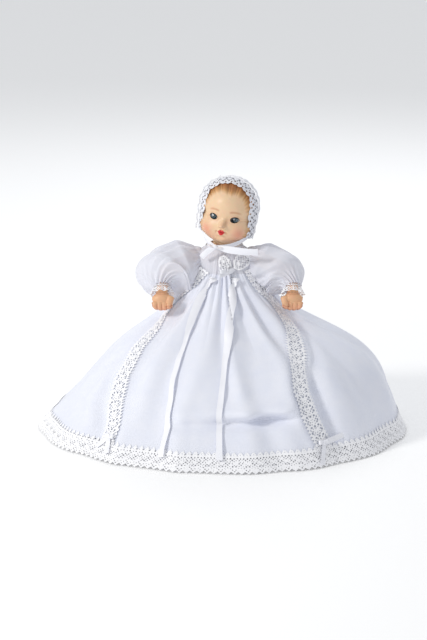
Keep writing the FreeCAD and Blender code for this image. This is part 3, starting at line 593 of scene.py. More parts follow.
def gown_bodice():
    th = np.linspace(-180, 180, 721)
    z = np.linspace(SEAM_Z - 1, NECK_Z + 1.5, 30)
    T, Z = np.meshgrid(th, z, indexing="ij")
    yoke = sheet_piece("gown_yoke", gown(T, Z), SHEER, ("bodice",))
    # a narrow gathered neck band with a lace edge that stands up round the throat
    u = np.linspace(0, 2 * math.pi, 361)
    v = np.linspace(0, 1, 12)
    U, V = np.meshgrid(u, v, indexing="ij")
    r = 25.2 - 3.6 * V + 0.7 * np.sin(34 * U) * (0.4 + V)
    P = np.stack([BX + r * np.sin(U), BY - 0.95 * r * np.cos(U), NECK_Z - 0.5 + 4.5 * V], -1)
    frill = sheet_piece("neck_frill", P, LACE, ("collar",))
    return yoke, frill


def slip():
    th = np.linspace(-180, 180, 481)
    z = np.linspace(3, 216, 80)
    T, Z = np.meshgrid(th, z, indexing="ij")
    r = base_radius(T, Z) - 11 + 0.6 * folds(T, Z)
    a = np.radians(T)
    P = np.stack([BX + r * np.sin(a), BY - r * np.cos(a), Z], -1)
    return sheet_piece("slip_cloth", P, COTTON, ("slip",))


def hem_lace():
    th = np.linspace(-180, 180, 1441)
    p = gown(th, np.full_like(th, 10.0))
    s = np.concatenate([[0], np.cumsum(np.linalg.norm(np.diff(p, axis=0), axis=1))])
    repeats = int(s[-1] / 18)
    length = repeats * 18.0
    # heights measured along the sloping cloth
    zz = np.arange(0, 60, 1.0)
    table = np.stack([gown(th, np.full_like(th, h)) for h in zz])
    steps = np.linalg.norm(np.diff(table, axis=0), axis=-1)
    run = np.concatenate([np.zeros((1, len(th))), np.cumsum(steps, axis=0)])
    for _ in range(30):
        run = (np.roll(run, 1, 1) + run + np.roll(run, -1, 1)) / 3

    def surface(u, v, lift):
        t = np.interp(u / length * s[-1], s, th)
        k = np.clip(np.searchsorted(th, t) - 1, 0, len(th) - 2)
        z = np.empty_like(t)
        for c in range(len(zz) - 1):
            inside = (run[c, k] <= v) & (v <= run[c + 1, k])
            z[inside] = (zz[c] + (v - run[c, k]) / (run[c + 1, k] - run[c, k]))[inside]
        z[v <= 0] = 0
        return gown(t, np.maximum(z, 0.35), lift)

    return lace("hem_lace_edging", surface, (0, length), (0, 34), hem_pattern, 0.5, 1.0,
                replaced=("hem_lace",))


def lace_bands():
    made = []
    for side, run in BAND_RUN.items():
        th, z, length = track([p for p in run if p[1] > 18] + [(run[-1][0], 18)])
        z0 = along_track(th, z)

        def surface(u, v, lift, z0=z0, length=length):
            narrow = 1.0 - 0.42 * np.clip(u / length, 0, 1)
            return z0(u, 1.4 * v * narrow, lift + 0.9)

        made.append(lace(side + "_insertion_lace", surface, (0, length), (-12, 12), band_pattern, 0.5, 1.1,
                         replaced=(side + "_lace_band",)))
    return made


def streamers():
    made = []
    for side, run in STREAMER_RUN.items():
        th, z, length = track(run)
        made.append(ribbon(side + "_satin_streamer", along_track(th, z), length, 8.5, 3.0, 1.6,
                           replaced=(side + "_streamer",)))
    return made


def strip(verts, faces, path, widths, facing, lift, arch):
    """Adds a ribbon along a path; arch lists the offsets across it, each with its rise along lift."""
    base, n, m = len(verts), len(path), len(arch)
    for i, p in enumerate(path):
        across = np.cross(path[min(i + 1, n - 1)] - path[max(i - 1, 0)], facing[i])
        across = across / (np.linalg.norm(across) + 1e-9)
        for offset, rise in arch:
            verts.append(p + across * widths[i] * offset + lift[i] * rise)
    for i in range(n - 1):
        for k in range(m - 1):
            a = base + i * m + k
            faces.append((a, a + m, a + m + 1, a + 1))


def knot(verts, faces, centre, axes, rings, around):
    """Adds an egg-shaped knot, whose poles are on the second of its three half axes."""
    base = len(verts)
    for a in np.linspace(0, math.pi, rings + 1):
        for j in range(around):
            b = 2 * math.pi * j / around
            verts.append(centre + axes[0] * math.sin(a) * math.cos(b) + axes[1] * math.cos(a)
                         + axes[2] * math.sin(a) * math.sin(b))
    for i in range(rings):
        for j in range(around):
            k, m = base + i * around, (j + 1) % around
            faces.append((k + j, k + m, k + around + m, k + around + j))


def bow(name, middle, aside, down, out, size, tails, replaced):
    """A tied bow: a small knot, loops to both sides and tails that hang from it."""
    verts, faces = [], []
    t = np.linspace(0, 1, 18)
    n = len(t)
    arch = [(k, 0.35 * (1 - 4 * k * k)) for k in (-0.5, -0.17, 0.17, 0.5)]
    for sign in (-1, 1):
        loop = [middle + (aside * sign - down * 0.22) * size * math.sin(math.pi * s)
                + out * (1.6 + 2.4 * math.sin(2 * math.pi * s)) for s in t]
        strip(verts, faces, loop, [6.0] * n, [out] * n, [out] * n, arch)
    for end in tails:
        path = [middle + (end - middle) * s
                + out * (1.5 + 2.0 * math.sin(math.pi * s) * (1 - s) + 0.5 * math.sin(9 * s)) for s in t]
        strip(verts, faces, path, [7.5] * n, [out + 0.1 * aside] * n, [out] * n, arch)
    knot(verts, faces, middle + out * 1.8, (3.0 * aside, 3.3 * down, 2.4 * out), 8, 12)
    return mesh_piece(name, verts, faces, SATIN, replaced)


def frame_at(theta, z, lift):
    """A point over the gown, with the ways to the side, down and out from it."""
    p = gown(theta, z, lift)
    side = gown(theta + 1.0, z) - gown(theta - 1.0, z)
    drop = gown(theta, z - 4.0) - gown(theta, z + 4.0)
    side, drop = side / np.linalg.norm(side), drop / np.linalg.norm(drop)
    out = np.cross(drop, side)
    return p, side, drop, out / np.linalg.norm(out)


def bows():
    p, side, drop, out = frame_at(theta_of(-8, 224), 227, 9.0)
    tails = [p + side * 17 - drop * 1, p - side * 15 + drop * 2]
    made = [bow("breast_bow", p, side, drop, out, 15, tails, ("chest_bow",))]
    # one bow on the lower end of each lace band
    z = 27
    ends = {"left": ((44, -4, 1), (-14, 28, 0)), "right": ((10, 22, 0), (-16, 18, 0))}
    for hand, tails in ends.items():
        p, side, drop, out = frame_at(np.interp(z, BAND_Z, BAND_THETA[hand]), z, 2.0)
        tails = [p + side * a + drop * b + out * c for a, b, c in tails]
        made.append(bow(hand + "_hem_ribbon_bow", p, side, drop, out, 9, tails, (hand + "_hem_bow",)))
    return made


def chest_lace():
    """Two leaves of lace that meet in a V over the breast."""
    def surface(u, v, lift):
        x = u - 2
        z = 226 + v
        th = np.degrees(np.arcsin(np.clip((x - BX) / 46, -0.99, 0.99)))
        return gown(th, z, lift)

    def pattern(u, v):
        leaves = []
        for cx, cz, a in ((-1.0, 14.5, -0.55), (27.5, 15.5, 0.5)):
            du, dv = u - cx, v - cz
            p, q = du * math.cos(a) + dv * math.sin(a), -du * math.sin(a) + dv * math.cos(a)
            rim = 1 - np.sqrt((p / 14.0) ** 2 + (q / 9.8) ** 2)
            inner = np.maximum.reduce([
                net(p, q, 3.0, 0.8), ring(p, q, 0, 0, 3.1, 1.0), ring(p, q, 6.2, 0, 2.0, 0.9),
                ring(p, q, -6.2, 0, 2.0, 0.9), 0.9 - np.abs(8.0 * rim - 1.0)])
            leaves.append(np.minimum(inner, 8.0 * rim))
        return np.maximum.reduce(leaves)

    return lace("breast_lace", surface, (-16, 43), (0, 28), pattern, 0.45, 2.0, replaced=("chest_lace",))


# ------------------------------------------------------------------ sleeves and cuffs

def sleeve(side, sign):
    """A gathered puff from the armhole to the wrist, its cloth falling in slanting folds over the forearm."""
    wrist = np.array([sign * WRIST_X, BY - 39, 207])
    root = np.array([BX + sign * 31.0, BY - 1, 244.5])
    n, m = 170, 260
    t = np.linspace(0, 1, n)[:, None]
    a = np.linspace(0, 2 * math.pi, m + 1)[None, :]
    heavy = 0.0 if sign > 0 else 1.0
    second = root + np.array([sign * (36 + 6 * heavy), -3, -16])
    third = wrist + np.array([sign * (-6 + 8 * heavy), 22, 17])
    centre = (1 - t) ** 3 * root + 3 * t * (1 - t) ** 2 * second + 3 * t**2 * (1 - t) * third + t**3 * wrist
    tangent = np.gradient(centre, axis=0)
    tangent /= np.linalg.norm(tangent, axis=1, keepdims=True)
    e1 = np.cross(tangent, np.array([0, -1.0, 0]))
    e1 /= np.linalg.norm(e1, axis=1, keepdims=True)
    e2 = np.cross(tangent, e1)
    rise, fall = smoothstep(0, 0.25, t), smoothstep(1.0, 0.68, t)
    puff = rise * fall
    full = (26 if sign > 0 else 33) - 3 * t + 5 * gauss(t, 0 * t, 0.62, 0, 0.2, 1)
    r = 12.0 + 5 * (1 - t) + (full - 12) * puff - 6 * hump(t, 0, 0.04)
    # gathers at both ends, long soft folds between them
    ends = 1 - puff
    gather = 1.7 * np.sin(17 * a + 2 * np.sin(3 * a)) * ends * smoothstep(0, 0.06, t)
    slant = a + 1.6 * t * sign + 0.5 * np.sin(2 * a + 3 * t)
    soft = 3.4 * puff * (0.55 - np.abs(np.sin(2.5 * slant + 0.7)) ** 1.3)
    soft = soft + 2.0 * puff * (0.5 - np.abs(np.sin(4.5 * slant + 2.1 + 2 * t)) ** 1.2)
    soft = soft + 0.5 * puff * np.sin(11 * slant + 5 * t + 2 * np.sin(6 * t)) * np.sin(2 * a + 4 * t)
    dent = -5.0 * puff * hump(t, 0.55 + 0.08 * np.sin(a), 0.05) * (0.5 + 0.5 * np.cos(a - 1.2)) ** 2
    ways = np.cos(a)[..., None] * e1[:, None, :] + np.sin(a)[..., None] * e2[:, None, :]
    bag = np.clip(ways @ np.array([sign * 0.86, 0, -0.5]), 0, 1) ** 2
    rr = r + gather + soft + dent + (11 + 12 * heavy) * puff * bag
    P = centre[:, None, :] + rr[..., None] * ways
    shoulder = np.array([BX + sign * 41.0, BY, 243.0])
    away = P - shoulder
    reach = np.linalg.norm(away, axis=-1, keepdims=True)
    P = shoulder + away * np.maximum(1, 15.5 / reach)
    # the cloth hangs: its lower side drops a little and rests on the skirt rather than in it
    under = np.clip(centre[:, None, 2] - P[..., 2], 0, None)
    P[..., 2] -= 0.20 * under * puff
    dx, dy = P[..., 0] - BX, P[..., 1] - BY
    th = np.degrees(np.arctan2(dx, -dy))
    dist = np.hypot(dx, dy)
    need = base_radius(th, np.clip(P[..., 2], 0, NECK_Z)) + folds(th, np.clip(P[..., 2], 0, NECK_Z)) + 1.2
    push = np.where(P[..., 2] < SEAM_Z, np.maximum(need - dist, 0), 0)
    P[..., 0] += push * dx / (dist + 1e-9)
    P[..., 1] += push * dy / (dist + 1e-9)
    puff_sleeve = sheet_piece(f"{side}_puff_sleeve", P, SHEER, (f"{side}_sleeve",), body=None)
    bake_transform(puff_sleeve)
    # cuff: a band and a flared lace frill round the wrist
    axis = np.array([0, -10, -13.0])
    axis /= np.linalg.norm(axis)
    reach = 11.0
    c1 = np.array([1.0, 0, 0])
    c2 = np.cross(axis, c1)

    def surface(u, v, lift):
        ang = u / reach
        rad = 10.8 + 5.2 * (np.clip(v, 0, 14) / 12.0) ** 0.8 + 1.2 * np.sin(9 * ang + sign) * v / 12 + lift
        spoke = np.cos(ang)[..., None] * c1 + np.sin(ang)[..., None] * c2
        return wrist + (v - 2.0)[..., None] * axis + rad[..., None] * spoke

    around = 2 * math.pi * reach
    cuff = lace(f"{side}_cuff_lace", surface, (0, around), (0, 13),
                lambda u, v: edging_pattern(u, 13 - v, 13, around / 9), 0.4, 0.3,
                body=f"{side}_arm", replaced=(f"{side}_cuff",))
    return puff_sleeve, cuff


# ------------------------------------------------------------------ porcelain limbs

def organic(node, voxel, passes, mat, body):
    """The CAD limb with its joints between plain solids worn smooth, as a cast piece has them."""
    me = NODES[node].data.copy()
    ob = new_object(node + "_cast", me)
    re = ob.modifiers.new("remesh", "REMESH")
    re.mode = "VOXEL"
    re.voxel_size = voxel / 1000
    re.use_smooth_shade = True
    sm = ob.modifiers.new("smooth", "SMOOTH")
    sm.iterations = passes
    sm.factor = 0.5
    dg = bpy.context.evaluated_depsgraph_get()
    final = bpy.data.meshes.new_from_object(ob.evaluated_get(dg))
    ob.modifiers.clear()
    ob.data = final
    final.materials.clear()
    final.materials.append(mat)
    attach(ob, body)
    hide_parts(node)
    return ob


def paint(ob, colors):
    layer = ob.data.color_attributes.new("paint", "FLOAT_COLOR", "POINT")
    full = np.ones((len(ob.data.vertices), 4), np.float32)
    full[:, :3] = colors
    layer.data.foreach_set("color", full.ravel())


SKIN = np.array([0.86, 0.60, 0.38])
BLUSH = np.array([0.80, 0.26, 0.18])
HAND = np.array([0.80, 0.46, 0.26])


def limbs():
    for side in ("left", "right"):
        arm = organic(f"{side}_arm", 0.45, 3, PORCELAIN, f"{side}_arm")
        co = points_of(arm)
        sign = 1 if side == "left" else -1
        tips = smoothstep(192, 180, co[:, 2])[:, None] * 0.30
        # shadow painted between the fingers, and at the fold of the wrist
        across = sign * co[:, 0] - WRIST_X
        crease = hump(period(across, 4.9), 0, 0.55) * smoothstep(191, 187, co[:, 2])
        crease = np.maximum(crease * (across > -13), 0.6 * hump(co[:, 2], 202, 0.8))[:, None] * 0.55
        tone = HAND * (1 - tips) + BLUSH * tips
        paint(arm, tone * (1 - crease) + np.array([0.42, 0.13, 0.06]) * crease)
        # plump hands
        swell = smoothstep(205, 195, co[:, 2])
        co[:, 0] = sign * (WRIST_X + across * (1 + 0.34 * swell))
        across = co[:, 0] - sign * WRIST_X
        co[:, 1] -= 1.5 * swell * np.cos(np.clip(across / 14, -1.5, 1.5))
        round_off = 3.0 * np.clip(np.abs(across) / 13, 0, 1.2) ** 2 * smoothstep(190, 180, co[:, 2])
        co[:, 2] = 196 + (co[:, 2] - 196) * (1 - 0.12 * swell) + round_off
        set_points(arm, co)
        leg = organic(f"{side}_leg", 0.9, 3, PORCELAIN, f"{side}_leg")
        co = points_of(leg)
        co[:, 2] = np.maximum(co[:, 2], 0)
        set_points(leg, co)
        knee = hump(co[:, 2], 84, 12)[:, None] * smoothstep(-8, -14, co[:, 1] - BY)[:, None] * 0.4
        paint(leg, SKIN * (1 - knee) + BLUSH * knee)

# ------------------------------------------------------------------ head, eyes, hair

ROLL, YAW = math.radians(9), math.radians(-12)
TURN = np.array(Matrix.Rotation(ROLL, 3, "Y") @ Matrix.Rotation(YAW, 3, "Z"))
EYES = {"left": 15.2, "right": -15.2}
EYE_Y, EYE_Z, EYE_R = -22.6, 38.0, 8.5


def in_head(p):
    """From the head's own frame, whose origin is the neck ball's centre, to the doll's."""
    return np.asarray(p) @ TURN.T + NECK


def almond(x, z, side):
    """Signed distance outside the eye's opening, roughly in millimetres."""
    cx = EYES[side]
    s = 1 if side == "left" else -1
    u, w = (x - cx) * s, z - EYE_Z - 0.06 * (x - cx) * s
    top = np.where(w > 0, 3.9, 3.2)
    return (np.sqrt((u / 5.0) ** 2 + (w / top) ** 2) - 1) * 4.2


# The face's relief: height, distance from the middle line, height of its middle, and two half widths.
FEATURES = [
    (1.3, 0, 63, 20, 12),  # forehead
    (2.4, 22, 19, 9.5, 9.0), (0.9, 11, 8, 7, 6),  # cheeks and jowls
    (-1.5, 15.0, 39, 8.5, 6.5), (-0.9, 0, 41, 5, 4),  # eye sockets and the dip between them
    (1.1, 0, 35, 2.8, 5), (1.5, 0, 32, 4.2, 5), (7.0, 0, 30.2, 3.3, 3.1),  # bridge and tip of the nose
    (2.3, 3.7, 28.2, 1.9, 1.9), (-1.7, 1.9, 26.6, 0.9, 0.8),  # its wings and nostrils
    (0.9, 0, 18, 8, 7), (-0.8, 0, 22.8, 1.0, 1.9),  # mouth region and the groove over the lip
    (2.5, 2.0, 21.4, 2.3, 1.3), (0.6, 4.4, 20.2, 1.4, 0.9), (2.8, 0, 16.8, 3.3, 1.5),  # lips
    (-2.2, 0, 19.1, 4.6, 0.55), (-1.3, 6.6, 19.0, 1.3, 1.5),  # parting and corners of the mouth
    (-1.6, 0, 12.0, 6, 1.9), (2.6, 0, 7.2, 7, 5),  # fold under the lip, and the chin
]


def open_eyes(P):
    """Brings the rims of the eye openings just in front of the glass, and the openings behind it."""
    x, z = P[..., 0], P[..., 2]
    for side, cx in EYES.items():
        sd = almond(x, z, side)
        middle = np.hypot(x - cx, z - EYE_Z)
        glass = EYE_Y - np.sqrt(np.clip(EYE_R**2 - middle**2, 0, None))
        near = (middle < 10) & (P[..., 1] < -12)
        lid = 1.0 * np.exp(-np.clip(sd, 0, None) / 2.2) + 0.5 * gauss(sd, z, 0.9, EYE_Z + 4, 0.9, 5)
        rim = np.minimum(P[..., 1], glass - 0.25) - lid
        mix = smoothstep(-0.15, 0.30, sd)
        opened = (glass + 1.3) * (1 - mix) + rim * mix
        fade = smoothstep(10, 7.5, middle)
        P[..., 1] = np.where(near, P[..., 1] * (1 - fade) + opened * fade, P[..., 1])


def neck_stem():
    """The points and faces of the stem and of the ball that sits in the torso's cup."""
    around = 64
    profile = [(13.5, 14.0), (13.5, 9.0)]
    profile += [(16 * math.cos(t), 16 * math.sin(t)) for t in np.linspace(0.5, -1.14, 30)]
    turns = np.linspace(0, 2 * math.pi, around + 1)[:-1]
    points = np.array([[r * math.sin(t), -r * math.cos(t), z] for t in turns for r, z in profile])
    return points, grid_faces(around, len(profile), wrap_u=True)


def head():
    nu, nv = 460, 340
    # finer towards the face, which is at angle 0
    s = np.linspace(-1, 1, nu + 1)[:-1]
    az = math.pi * (0.62 * s + 0.38 * s**3)
    q = np.linspace(0, 1, nv)
    el = math.pi * (0.5 - q) + 0.16 * np.sin(4 * math.pi * q) * 0.5
    A, E = np.meshgrid(az, el, indexing="ij")
    d = np.stack([np.sin(A) * np.cos(E), -np.cos(A) * np.cos(E), np.sin(E)], -1)
    c = np.array([0, -2, 40.0])

    def reach(centre, radii):
        o = (c - np.array(centre)) / radii
        w = d / radii
        aa = (w**2).sum(-1)
        bb = (w * o).sum(-1)
        cc = (o**2).sum() - 1
        return (-bb + np.sqrt(np.maximum(bb**2 - aa * cc, 0))) / aa

    r1 = reach((0, 4, 50), np.array([37, 42, 38.0]))
    r2 = reach((0, -9, 25.5), np.array([34.8, 29.5, 26.5]))
    r = np.maximum(r1, r2) + 0.9 * hump(r1, r2, 2.5)
    P = c + d * r[..., None]
    x, y, z = P[..., 0], P[..., 1], P[..., 2]
    ax = np.abs(x)
    face = smoothstep(-2, -14, y)
    bump = sum(height * gauss(ax, z, *at) for height, *at in FEATURES)
    # moulded hair: locks combed forward from the crown to the edge of the face
    rim = np.sqrt((x / 34.5) ** 2 + ((z - 38) / np.where(z > 38, 41.0, 50.0)) ** 2)
    swirl = np.arctan2(x, z - 38)
    lock = np.sin(15 * swirl + 3 * np.sin(3 * swirl) + 6 * rim)
    peak = 0.11 * hump(x, 1.5, 9.0) * smoothstep(46, 60, z) + 0.05 * gauss(x, z, 26, 50, 9, 14)
    hairline = rim + 0.012 * lock + 0.010 * np.sin(37 * swirl + 4 * rim) + peak + 0.4 * smoothstep(-8, 6, y)
    hair = smoothstep(0.86, 1.03, hairline) * smoothstep(4, 16, z)
    strand = np.sin(46 * swirl + 9 * rim + 2 * lock)
    shown = smoothstep(-4, -13, y)
    relief = hair * (1.2 + 0.4 * lock + 0.25 * strand) + 3.0 * smoothstep(1.0, 1.2, rim)
    P = P + d * (bump * face + relief * shown)[..., None]
    open_eyes(P)
    neck, neck_faces = neck_stem()
    faces = np.concatenate([grid_faces(nu, nv, wrap_u=True), neck_faces + nu * nv])
    points = in_head(np.concatenate([P.reshape(-1, 3), neck]))
    ob = mesh_piece("porcelain_head", points, faces, PORCELAIN, ("head",), "head")
    # paint
    x, y, z = P[..., 0], P[..., 1], P[..., 2]
    ax = np.abs(x)
    col = np.broadcast_to(SKIN, P.shape).copy()

    def tint(mask, color):
        nonlocal col
        col = col * (1 - mask[..., None]) + np.array(color) * mask[..., None]

    tint(0.62 * gauss(ax, z, 23, 19, 8.5, 8.5) * face, BLUSH)
    tint(0.25 * gauss(ax, z, 12, 8, 9, 7) * face, BLUSH)
    tint(0.30 * gauss(x, z, 0, 30, 3, 4) * face, [0.90, 0.45, 0.30])
    for side, cx in EYES.items():
        sd = almond(x, z, side)
        tint(0.30 * hump(sd, 2.0, 2.2) * face, [0.70, 0.38, 0.24])
        brow = hump(z, 49.3 - 0.022 * (ax - 14) ** 2, 1.5)
        tint(0.5 * brow * smoothstep(6, 10, ax) * smoothstep(25, 18, ax) * face, [0.62, 0.30, 0.17])
        rim_w = np.where(z > EYE_Z, 1.0, 0.45)
        tint(smoothstep(rim_w + 0.35, rim_w - 0.1, sd) * (np.abs(x - cx) < 9) * face, [0.015, 0.01, 0.01])
    tint(0.8 * gauss(ax, z, 1.9, 26.5, 0.9, 0.7) * face, [0.45, 0.10, 0.06])
    upper = 19.1 + 3.8 * np.clip(1 - (ax / 5.9) ** 1.7, 0, 1) - 0.9 * hump(x, 0, 1.1)
    lower = 19.1 - 4.4 * np.clip(1 - (ax / 5.0) ** 2, 0, 1)
    mouth = smoothstep(-0.25, 0.25, upper - z) * smoothstep(-0.25, 0.25, z - lower) * (ax < 6)
    tint(0.97 * mouth * face, [0.72, 0.02, 0.03])
    tint(0.8 * gauss(x, z, 0, 19.1, 4.6, 0.5) * face, [0.28, 0.0, 0.01])
    # painted shadow down the doll's left side of the nose, away from the key light
    tint(0.42 * gauss(x, z, 4.6, 34, 2.4, 6.5) * face, [0.40, 0.17, 0.07])
    # painted shade in the dimples at the corners of the mouth
    tint(0.30 * gauss(ax, z, 8.0, 18.5, 1.3, 2.2) * face, [0.50, 0.22, 0.10])
    deep = smoothstep(0.96, 1.14, hairline)[..., None]
    shade = (0.88 + 0.08 * lock + 0.10 * strand)[..., None]
    gold, rust = np.array([0.66, 0.34, 0.12]), np.array([0.42, 0.16, 0.05])
    hair_col = (gold * (1 - deep) + rust * deep) * shade
    col = col * (1 - hair[..., None]) + hair_col * hair[..., None]
    full = np.concatenate([col.reshape(-1, 3), np.broadcast_to(SKIN, (len(neck), 3))])
    paint(ob, np.clip(full, 0, 1))
    return ob


def eye_material():
    """Glass eye: pupil, streaked blue-grey iris with a dark edge, then white, round the eye's own axis."""
    mat, tree, bsdf = new_material("glass_eye")
    streak = tree.nodes.new("ShaderNodeMath")
    streak.operation = "MULTIPLY_ADD"
    streak.inputs[1].default_value = 0.10
    tree.links.new(noise(tree, Scale=900.0, Detail=3.0).outputs["Fac"], streak.inputs[0])
    tree.links.new(attribute(tree, "axis_distance")["Fac"], streak.inputs[2])
    ramp = tree.nodes.new("ShaderNodeValToRGB")
    stops = [(0.0, (0.004, 0.005, 0.006)), (0.36, (0.006, 0.008, 0.01)), (0.41, (0.05, 0.11, 0.14)),
             (0.56, (0.09, 0.17, 0.21)), (0.66, (0.012, 0.02, 0.03)), (0.80, (0.01, 0.014, 0.02)),
             (0.88, (0.30, 0.30, 0.32)), (1.0, (0.85, 0.85, 0.86))]
    ramp.color_ramp.elements[0].position = 0
    ramp.color_ramp.elements[0].color = (*stops[0][1], 1)
    ramp.color_ramp.elements[1].position = 1
    ramp.color_ramp.elements[1].color = (*stops[-1][1], 1)
    for pos, color in stops[1:-1]:
        el = ramp.color_ramp.elements.new(pos)
        el.color = (*color, 1)
    tree.links.new(streak.outputs[0], ramp.inputs["Fac"])
    # the painted lid on the upper part of the ball, which comes down when the doll lies back
    color = color_mix(tree, ramp.outputs["Color"], (0.74, 0.48, 0.34, 1), attribute(tree, "lid")["Fac"])
    tree.links.new(color, bsdf.inputs["Base Color"])
    settle(bsdf, Roughness=0.04, Coat_Weight=1.0, Coat_Roughness=0.02)
    return mat


def float_layer(ob, name, values):
    layer = ob.data.attributes.new(name, "FLOAT", "POINT")
    layer.data.foreach_set("value", values.astype(np.float32).ravel())


def eyes():
    mat = eye_material()
    for side, cx in EYES.items():
        a = np.linspace(0, 2 * math.pi, 145)[:-1]
        t = np.concatenate([np.linspace(0.001, 0.8, 76), np.linspace(0.84, math.pi - 0.001, 24)])
        A, T = np.meshgrid(a, t, indexing="ij")
        # the gaze is slightly towards the middle
        look = np.array(Matrix.Rotation(math.radians(2.0 if cx > 0 else -2.0), 3, "Z"))
        d = np.stack([np.sin(T) * np.sin(A), -np.cos(T), np.sin(T) * np.cos(A)], -1) @ look.T
        P = np.array([cx, EYE_Y, EYE_Z]) + EYE_R * d
        ob = sheet_piece(f"{side}_glass_eye", in_head(P), mat, (f"{side}_eye",), "eyes", True)
        # a small white glint is painted in each iris
        glint = np.hypot(P[..., 0] - cx + 1.3, P[..., 2] - EYE_Z - 1.2) < 1.0
        ring = np.where((T < 1.57) & ~glint, EYE_R * np.sin(T) / 4.9, 9.0)
        float_layer(ob, "axis_distance", ring)
        tilt = np.arctan2(np.sin(T) * np.cos(A), np.cos(T))
        lid = smoothstep(0.57, 0.61, tilt) * smoothstep(2.6, 2.5, tilt)
        float_layer(ob, "lid", lid)
        # lashes: a fan of short curved hairs on the upper rim of the opening
        verts, faces = [], []
        s = 1 if side == "left" else -1
        for k in range(26):
            f = k / 25
            u = -4.7 + 9.4 * f
            w = 3.9 * math.sqrt(max(0.0, 1 - (u / 5.0) ** 2))
            root = np.array([cx + s * u, 0, EYE_Z + w + 0.06 * u])
            g = max(EYE_R**2 - (root[0] - cx) ** 2 - (root[2] - EYE_Z) ** 2, 0)
            root[1] = EYE_Y - math.sqrt(g) - 1.2
            tip = root + np.array([s * (f - 0.35) * 1.8, -1.5, 1.6 + 0.3 * math.sin(7 * k)])
            width = np.array([0.13, 0, 0])
            mid = (root + tip) / 2 + np.array([0, -0.5, -0.25])
            b = len(verts)
            verts += [root - width, root + width, mid + width * 0.8, mid - width * 0.8, tip]
            faces.append([b, b + 1, b + 2, b + 3])
            faces.append([b + 3, b + 2, b + 4, b + 4])
        faces = [f if f[2] != f[3] else f[:3] for f in faces]
        mesh_piece(f"{side}_lashes", in_head(np.array(verts)), faces, LASH, body="head")


# ------------------------------------------------------------------ bonnet

BON_W, BON_D, BON_H, BON_Z, BON_LOW = 41.5, 46.5, 42.5, 50.0, 12.0


def bonnet_point(t, y, lift=0.0):
    """A point on the bonnet: t runs from -1 at the right lower edge over the top to 1, y to the back."""
    t, y = np.broadcast_arrays(np.asarray(t, float), np.asarray(y, float))
    f = np.sqrt(np.clip(1 - ((y - 5) / BON_D) ** 2, 0.0, 1))
    close = 3.2 * smoothstep(-6, -20, y) * (1 - 0.8 * smoothstep(0.64, 0.9, np.abs(t)))
    w, h = (BON_W + lift) * f - close, (BON_H + lift) * f - 0.6 * close
    turn = 0.64
    a = np.clip(np.abs(t) / turn, 0, 1) * math.pi / 2
    fall = np.clip((np.abs(t) - turn) / (1 - turn), 0, 1)
    hug = 2.8 * smoothstep(-6, -20, y) * smoothstep(0.38, 0.6, np.abs(t))
    x = np.sign(t) * (w * np.sin(a) - 2.5 * fall**1.5 * f - hug)
    z = BON_Z + h * np.cos(a) - (BON_Z - BON_LOW) * fall
    return np.stack([x, y, z], -1)


def bonnet():
    t = np.linspace(-1, 1, 361)
    y = np.concatenate([np.linspace(-13, 44, 90), 5 + 46.5 * np.sin(np.linspace(1.0, math.pi / 2, 24))])
    y = np.unique(np.round(y, 3))
    T, Y = np.meshgrid(t, y, indexing="ij")
    gathers = 0.9 * (np.abs(np.sin(26 * T + 1.5 * np.sin(4 * T))) ** 1.3 - 0.5)
    gathers = gathers * smoothstep(-8, 6, Y) * smoothstep(50, 40, Y)
    seam = -0.9 * hump(Y, 2, 1.2) + 0.5 * hump(Y, -2, 2.0)
    P = bonnet_point(T, Y, gathers + seam)
    crown = sheet_piece("bonnet_crown", in_head(P), COTTON, ("bonnet",), "head")
    # the lining behind the eyelets is seen in shade
    crown.data.materials.append(SHADE)
    behind = np.broadcast_to(y[None, :-1] < -4, (len(t) - 1, len(y) - 1))
    crown.data.polygons.foreach_set("material_index", behind.astype(np.int32).ravel())
    # front lace: from 18 mm back to the scalloped edge round the face, flaring a little outwards
    length = 190.0  # from corner to corner over the top

    def surface(u, v, lift):
        tt = u / length * 2 - 1
        yy = -21.0 + v
        flare = 2.3 * smoothstep(-8, -21, yy) + 0.7 * np.sin(u / 2.9) * smoothstep(-6, -20, yy) + 0.8
        return in_head(bonnet_point(tt, yy, flare + lift))

    front = lace("bonnet_front_lace", surface, (0, length), (0, 19), lambda u, v: eyelet_pattern(u, v, 19),
                 0.42, 0.3, mat=COTTON, body="head", replaced=("bonnet_lace",))

    # a fine second edging that stands at the outside of the front lace
    def edge(u, v, lift):
        tt = u / length * 2 - 1
        yy = -9.0 - 0.35 * v
        return in_head(bonnet_point(tt, yy, 3.0 + 0.75 * v + 0.8 * np.sin(u / 2.0) + lift))

    edging = lace("bonnet_edging", edge, (0, length), (0, 5), lambda u, v: edging_pattern(u, 5 - v, 5, 6.0),
                  0.4, 0.2, body="head")
    return crown, front, edging


